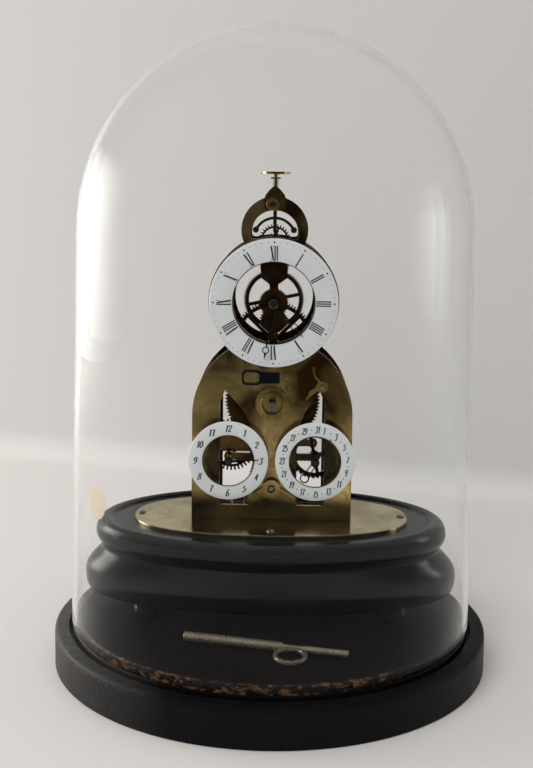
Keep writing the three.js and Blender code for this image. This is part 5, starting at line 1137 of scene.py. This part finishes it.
# y: both faces; foot, crest and lean shape the teeth as shares of their pitch
wheels = {
    "centre_wheel": dict(
        body="minutes", at=(0, 244.65), teeth=84, tip=20.9, root=19.78, y=(12, 13.6), rim=2.6,
        turn=math.radians(12), bore=1.6),
    "intermediate_wheel": dict(
        body="intermediate", at=(0, 212.4), teeth=80, tip=29.38, root=27.45, y=(33, 34.4), rim=2.6,
        turn=math.pi / 4),
    "third_wheel": dict(body="third", at=(0, 267.004), teeth=52, tip=10.26, root=9.3, y=(22, 23.2), arms=0),
    "escape_wheel": dict(
        body="escape", at=(0, 285.5), teeth=30, tip=11.2, root=9.4, y=(9, 10.2), rim=1.3, turn=math.pi / 4 + 0.5,
        phase=quarter, lean=0.3, foot=0.5, crest=0.03, hub=2.2, armWidth=1.5),
    "date_wheel": dict(
        body="date", at=(29.2, 137.6), teeth=31, tip=16.7, root=14.9, y=(5, 6.4), rim=2.4, turn=0.2,
        lean=0.35, foot=0.9, crest=0.03),
    "alarm_setting_wheel": dict(
        body="alarm_setting", at=(-29.2, 137.6), teeth=40, tip=18.9, root=16, y=(31.4, 32.6), rim=1.6, turn=0.4,
        foot=0.55, crest=0.14),
}
plainWheel = dict(arms=4, bore=1.25, phase=0, lean=0, foot=0.6, crest=0.12, hub=3.4, armWidth=2.4)


def toothCurve(w):
    # per tooth: foot of the flank, pitch line, shoulder, tip and back, at shares of the tooth pitch
    foot, lean, crest, tip, root = (w[k] for k in ("foot", "lean", "crest", "tip", "root"))
    pitch = fullTurn / w["teeth"]
    middle, shoulder = (tip + root) / 2, tip - (tip - root) * 0.22
    shares = np.array([
        -foot / 2, -foot * 0.42 + lean * 0.3, -crest - 0.06 + lean * 0.8, -crest / 2 + lean,
        crest / 2 + lean, crest + 0.06 + lean * 0.8, foot * 0.42 + lean * 0.3, foot / 2,
    ])
    radii = np.array([root, middle, shoulder, tip, tip, shoulder, middle, root])
    angle = w["phase"] + np.arange(w["teeth"])[:, None] * pitch + shares * pitch
    return columns([(radii * np.cos(angle)).ravel(), (radii * np.sin(angle)).ravel()])


def armHoles(w):
    # the openings between the arms of a wheel: an arc under the rim and an arc over the hub
    holes = []
    for i in range(w["arms"]):
        outer, inner = w["root"] - w["rim"], w["hub"]
        rimHalf, hubHalf = math.asin(w["armWidth"] / 2 / outer), math.asin(w["armWidth"] / 2 / inner)
        start, end = (w["turn"] + k * fullTurn / w["arms"] for k in (i, i + 1))
        under = arc(0, 0, outer, start + rimHalf, end - rimHalf, 18)
        holes.append(chain([under, arc(0, 0, inner, end - hubHalf, start + hubHalf, 8)]))
    return holes


def wheelPart(w):
    # toothed sheet less the openings between its arms and the bore
    w = {**plainWheel, **w}
    shapes = [toothCurve(w), *armHoles(w), circle(0, 0, w["bore"], 24)]
    return cutSheet([s + w["at"] for s in shapes], *w["y"])


for node, w in wheels.items():
    piece(node.replace("_", "") + "Cut", wheelPart(w), w["body"], brass["wheel"], [node], 30)
print("wheels cut")

ratchet = dict(
    at=(0, 175.6), teeth=dict(plainWheel, teeth=24, tip=12.0, root=10.6, foot=0.94, lean=0.42, crest=0.03),
    bore=2.2, y=(-6.0, -4.3),
    collar=[(6.4, -5.2), (6.4, -7.9), (7.0, -8.6), (7.7, -8.6), (8.2, -8.0), (8.2, -5.2), (6.4, -5.2)],
)


def ratchetPart():
    # ratchet teeth and a raised collar with a hollow face
    at = ratchet["at"]
    disc = cutSheet([toothCurve(ratchet["teeth"]) + at, circle(*at, ratchet["bore"], 32)], *ratchet["y"])
    return joinMeshes([disc, turned(softened(ratchet["collar"], 0.3, 3), *at, 72, True)])


bob = dict(z=118, y=46, radius=15.0, half=4.0)


def bobPart():
    # lens-shaped bob: two shallow caps that meet at a rounded edge, radius sin^0.8 t by half cos t
    t = np.linspace(0, math.pi, 33)
    section = columns([bob["radius"] * np.sin(t) ** 0.8, bob["y"] - bob["half"] * np.cos(t)])
    section[0, 0] = section[-1, 0] = 0
    return turned(section, 0, bob["z"], 96)


disc = dict(
    y=46, edge=0.22, profile=[
        (0, 331.5), (1.5, 331.5), (1.5, 329.9), (2.4, 329.9), (2.4, 330.7), (10.5, 330.7), (10.5, 332.3), (0, 332.3)],
)
discPart = upright(softened(disc["profile"], disc["edge"], 3), 0, disc["y"], 96)
key = dict(
    place=(-54, -57, 34.5), angle=-12, big=2.9, small=2.1, neck=1.7,
    bigEnd=63, end=105.6, smallStart=77.6, edge=0.5,
    ring=(71.3, -11.3), ringInner=8.0, ringOuter=10.6, ringHalf=1.1, ringEdge=0.45,
)


def keyPart():
    # two turned barrels on one axis, and a flat ring handle beside the neck
    big, small, neck, start, end = key["big"], key["small"], key["neck"], key["smallStart"], key["end"]
    profile = softened([
        (0, 0), (big, 0), (big, key["bigEnd"]), (neck, key["bigEnd"] + 2.4), (neck, start - 2.0),
        (small, start), (small, end), (0, end),
    ], key["edge"], 4)
    barrels = lathe(profile, 48, False, (2, 0, 1), 0)
    r0, r1, h = key["ringInner"], key["ringOuter"], key["ringHalf"]
    section = softened([(r0, 0), (r0, h), (r1, h), (r1, -h), (r0, -h), (r0, 0)], key["ringEdge"], 4)[:-1]
    points, faces = joinMeshes([barrels, upright(section, *key["ring"], 72, True)])
    return columns([*rotated(points[:, 0], points[:, 1], key["angle"]), points[:, 2]]) + key["place"], faces


piece("ratchetAndCollar", ratchetPart(), "winding", brass["gilt"], ["ratchet_wheel"], 35)
piece("lensBob", bobPart(), "pendulum", brass["gilt"], ["pendulum_bob"], 50)
piece("regulatorDisc", discPart, "rating", brass["gilt"], ["rating_disc"])
piece("doubleWindingKey", keyPart(), "key", steel["nickel"], ["winding_key"])
print("turned pieces and key made")

finishes = {
    brass["gilt"]: ["suspension_cock", "click", "date_lever"],
    brass["cock"]: ["front_cock"],
    brass["bronze"]: ["front_centre_cock", "rear_centre_cock"],
    brass["dim"]: ["rear_bar", "front_bar"],
    brass["plate"]: ["alarm_bridge", "pillar_1", "pillar_2", "pillar_3", "pillar_4"],
    brass["wheel"]: [
        "great_wheel", "minute_wheel", "hour_wheel", "fourth_wheel", "alarm_barrel", "alarm_second_wheel",
        "alarm_escape_wheel"],
    brass["pale"]: ["bell"],
    steel["bright"]: ["winding_arbor", "alarm_winding_arbor", "hammer", "pendulum_rod", "crutch"],
    steel["dim"]: [
        "anchor", "intermediate_arbor", "centre_arbor", "third_arbor", "escape_arbor", "cannon_pinion",
        "alarm_hand_arbor", "date_hand_arbor"],
    steel["blued"]: ["click_spring"],
    silk: ["silk_loop"],
}
for material, names in finishes.items():
    for node in names:
        coat(nodes[node].data, material)
print("finishes given")
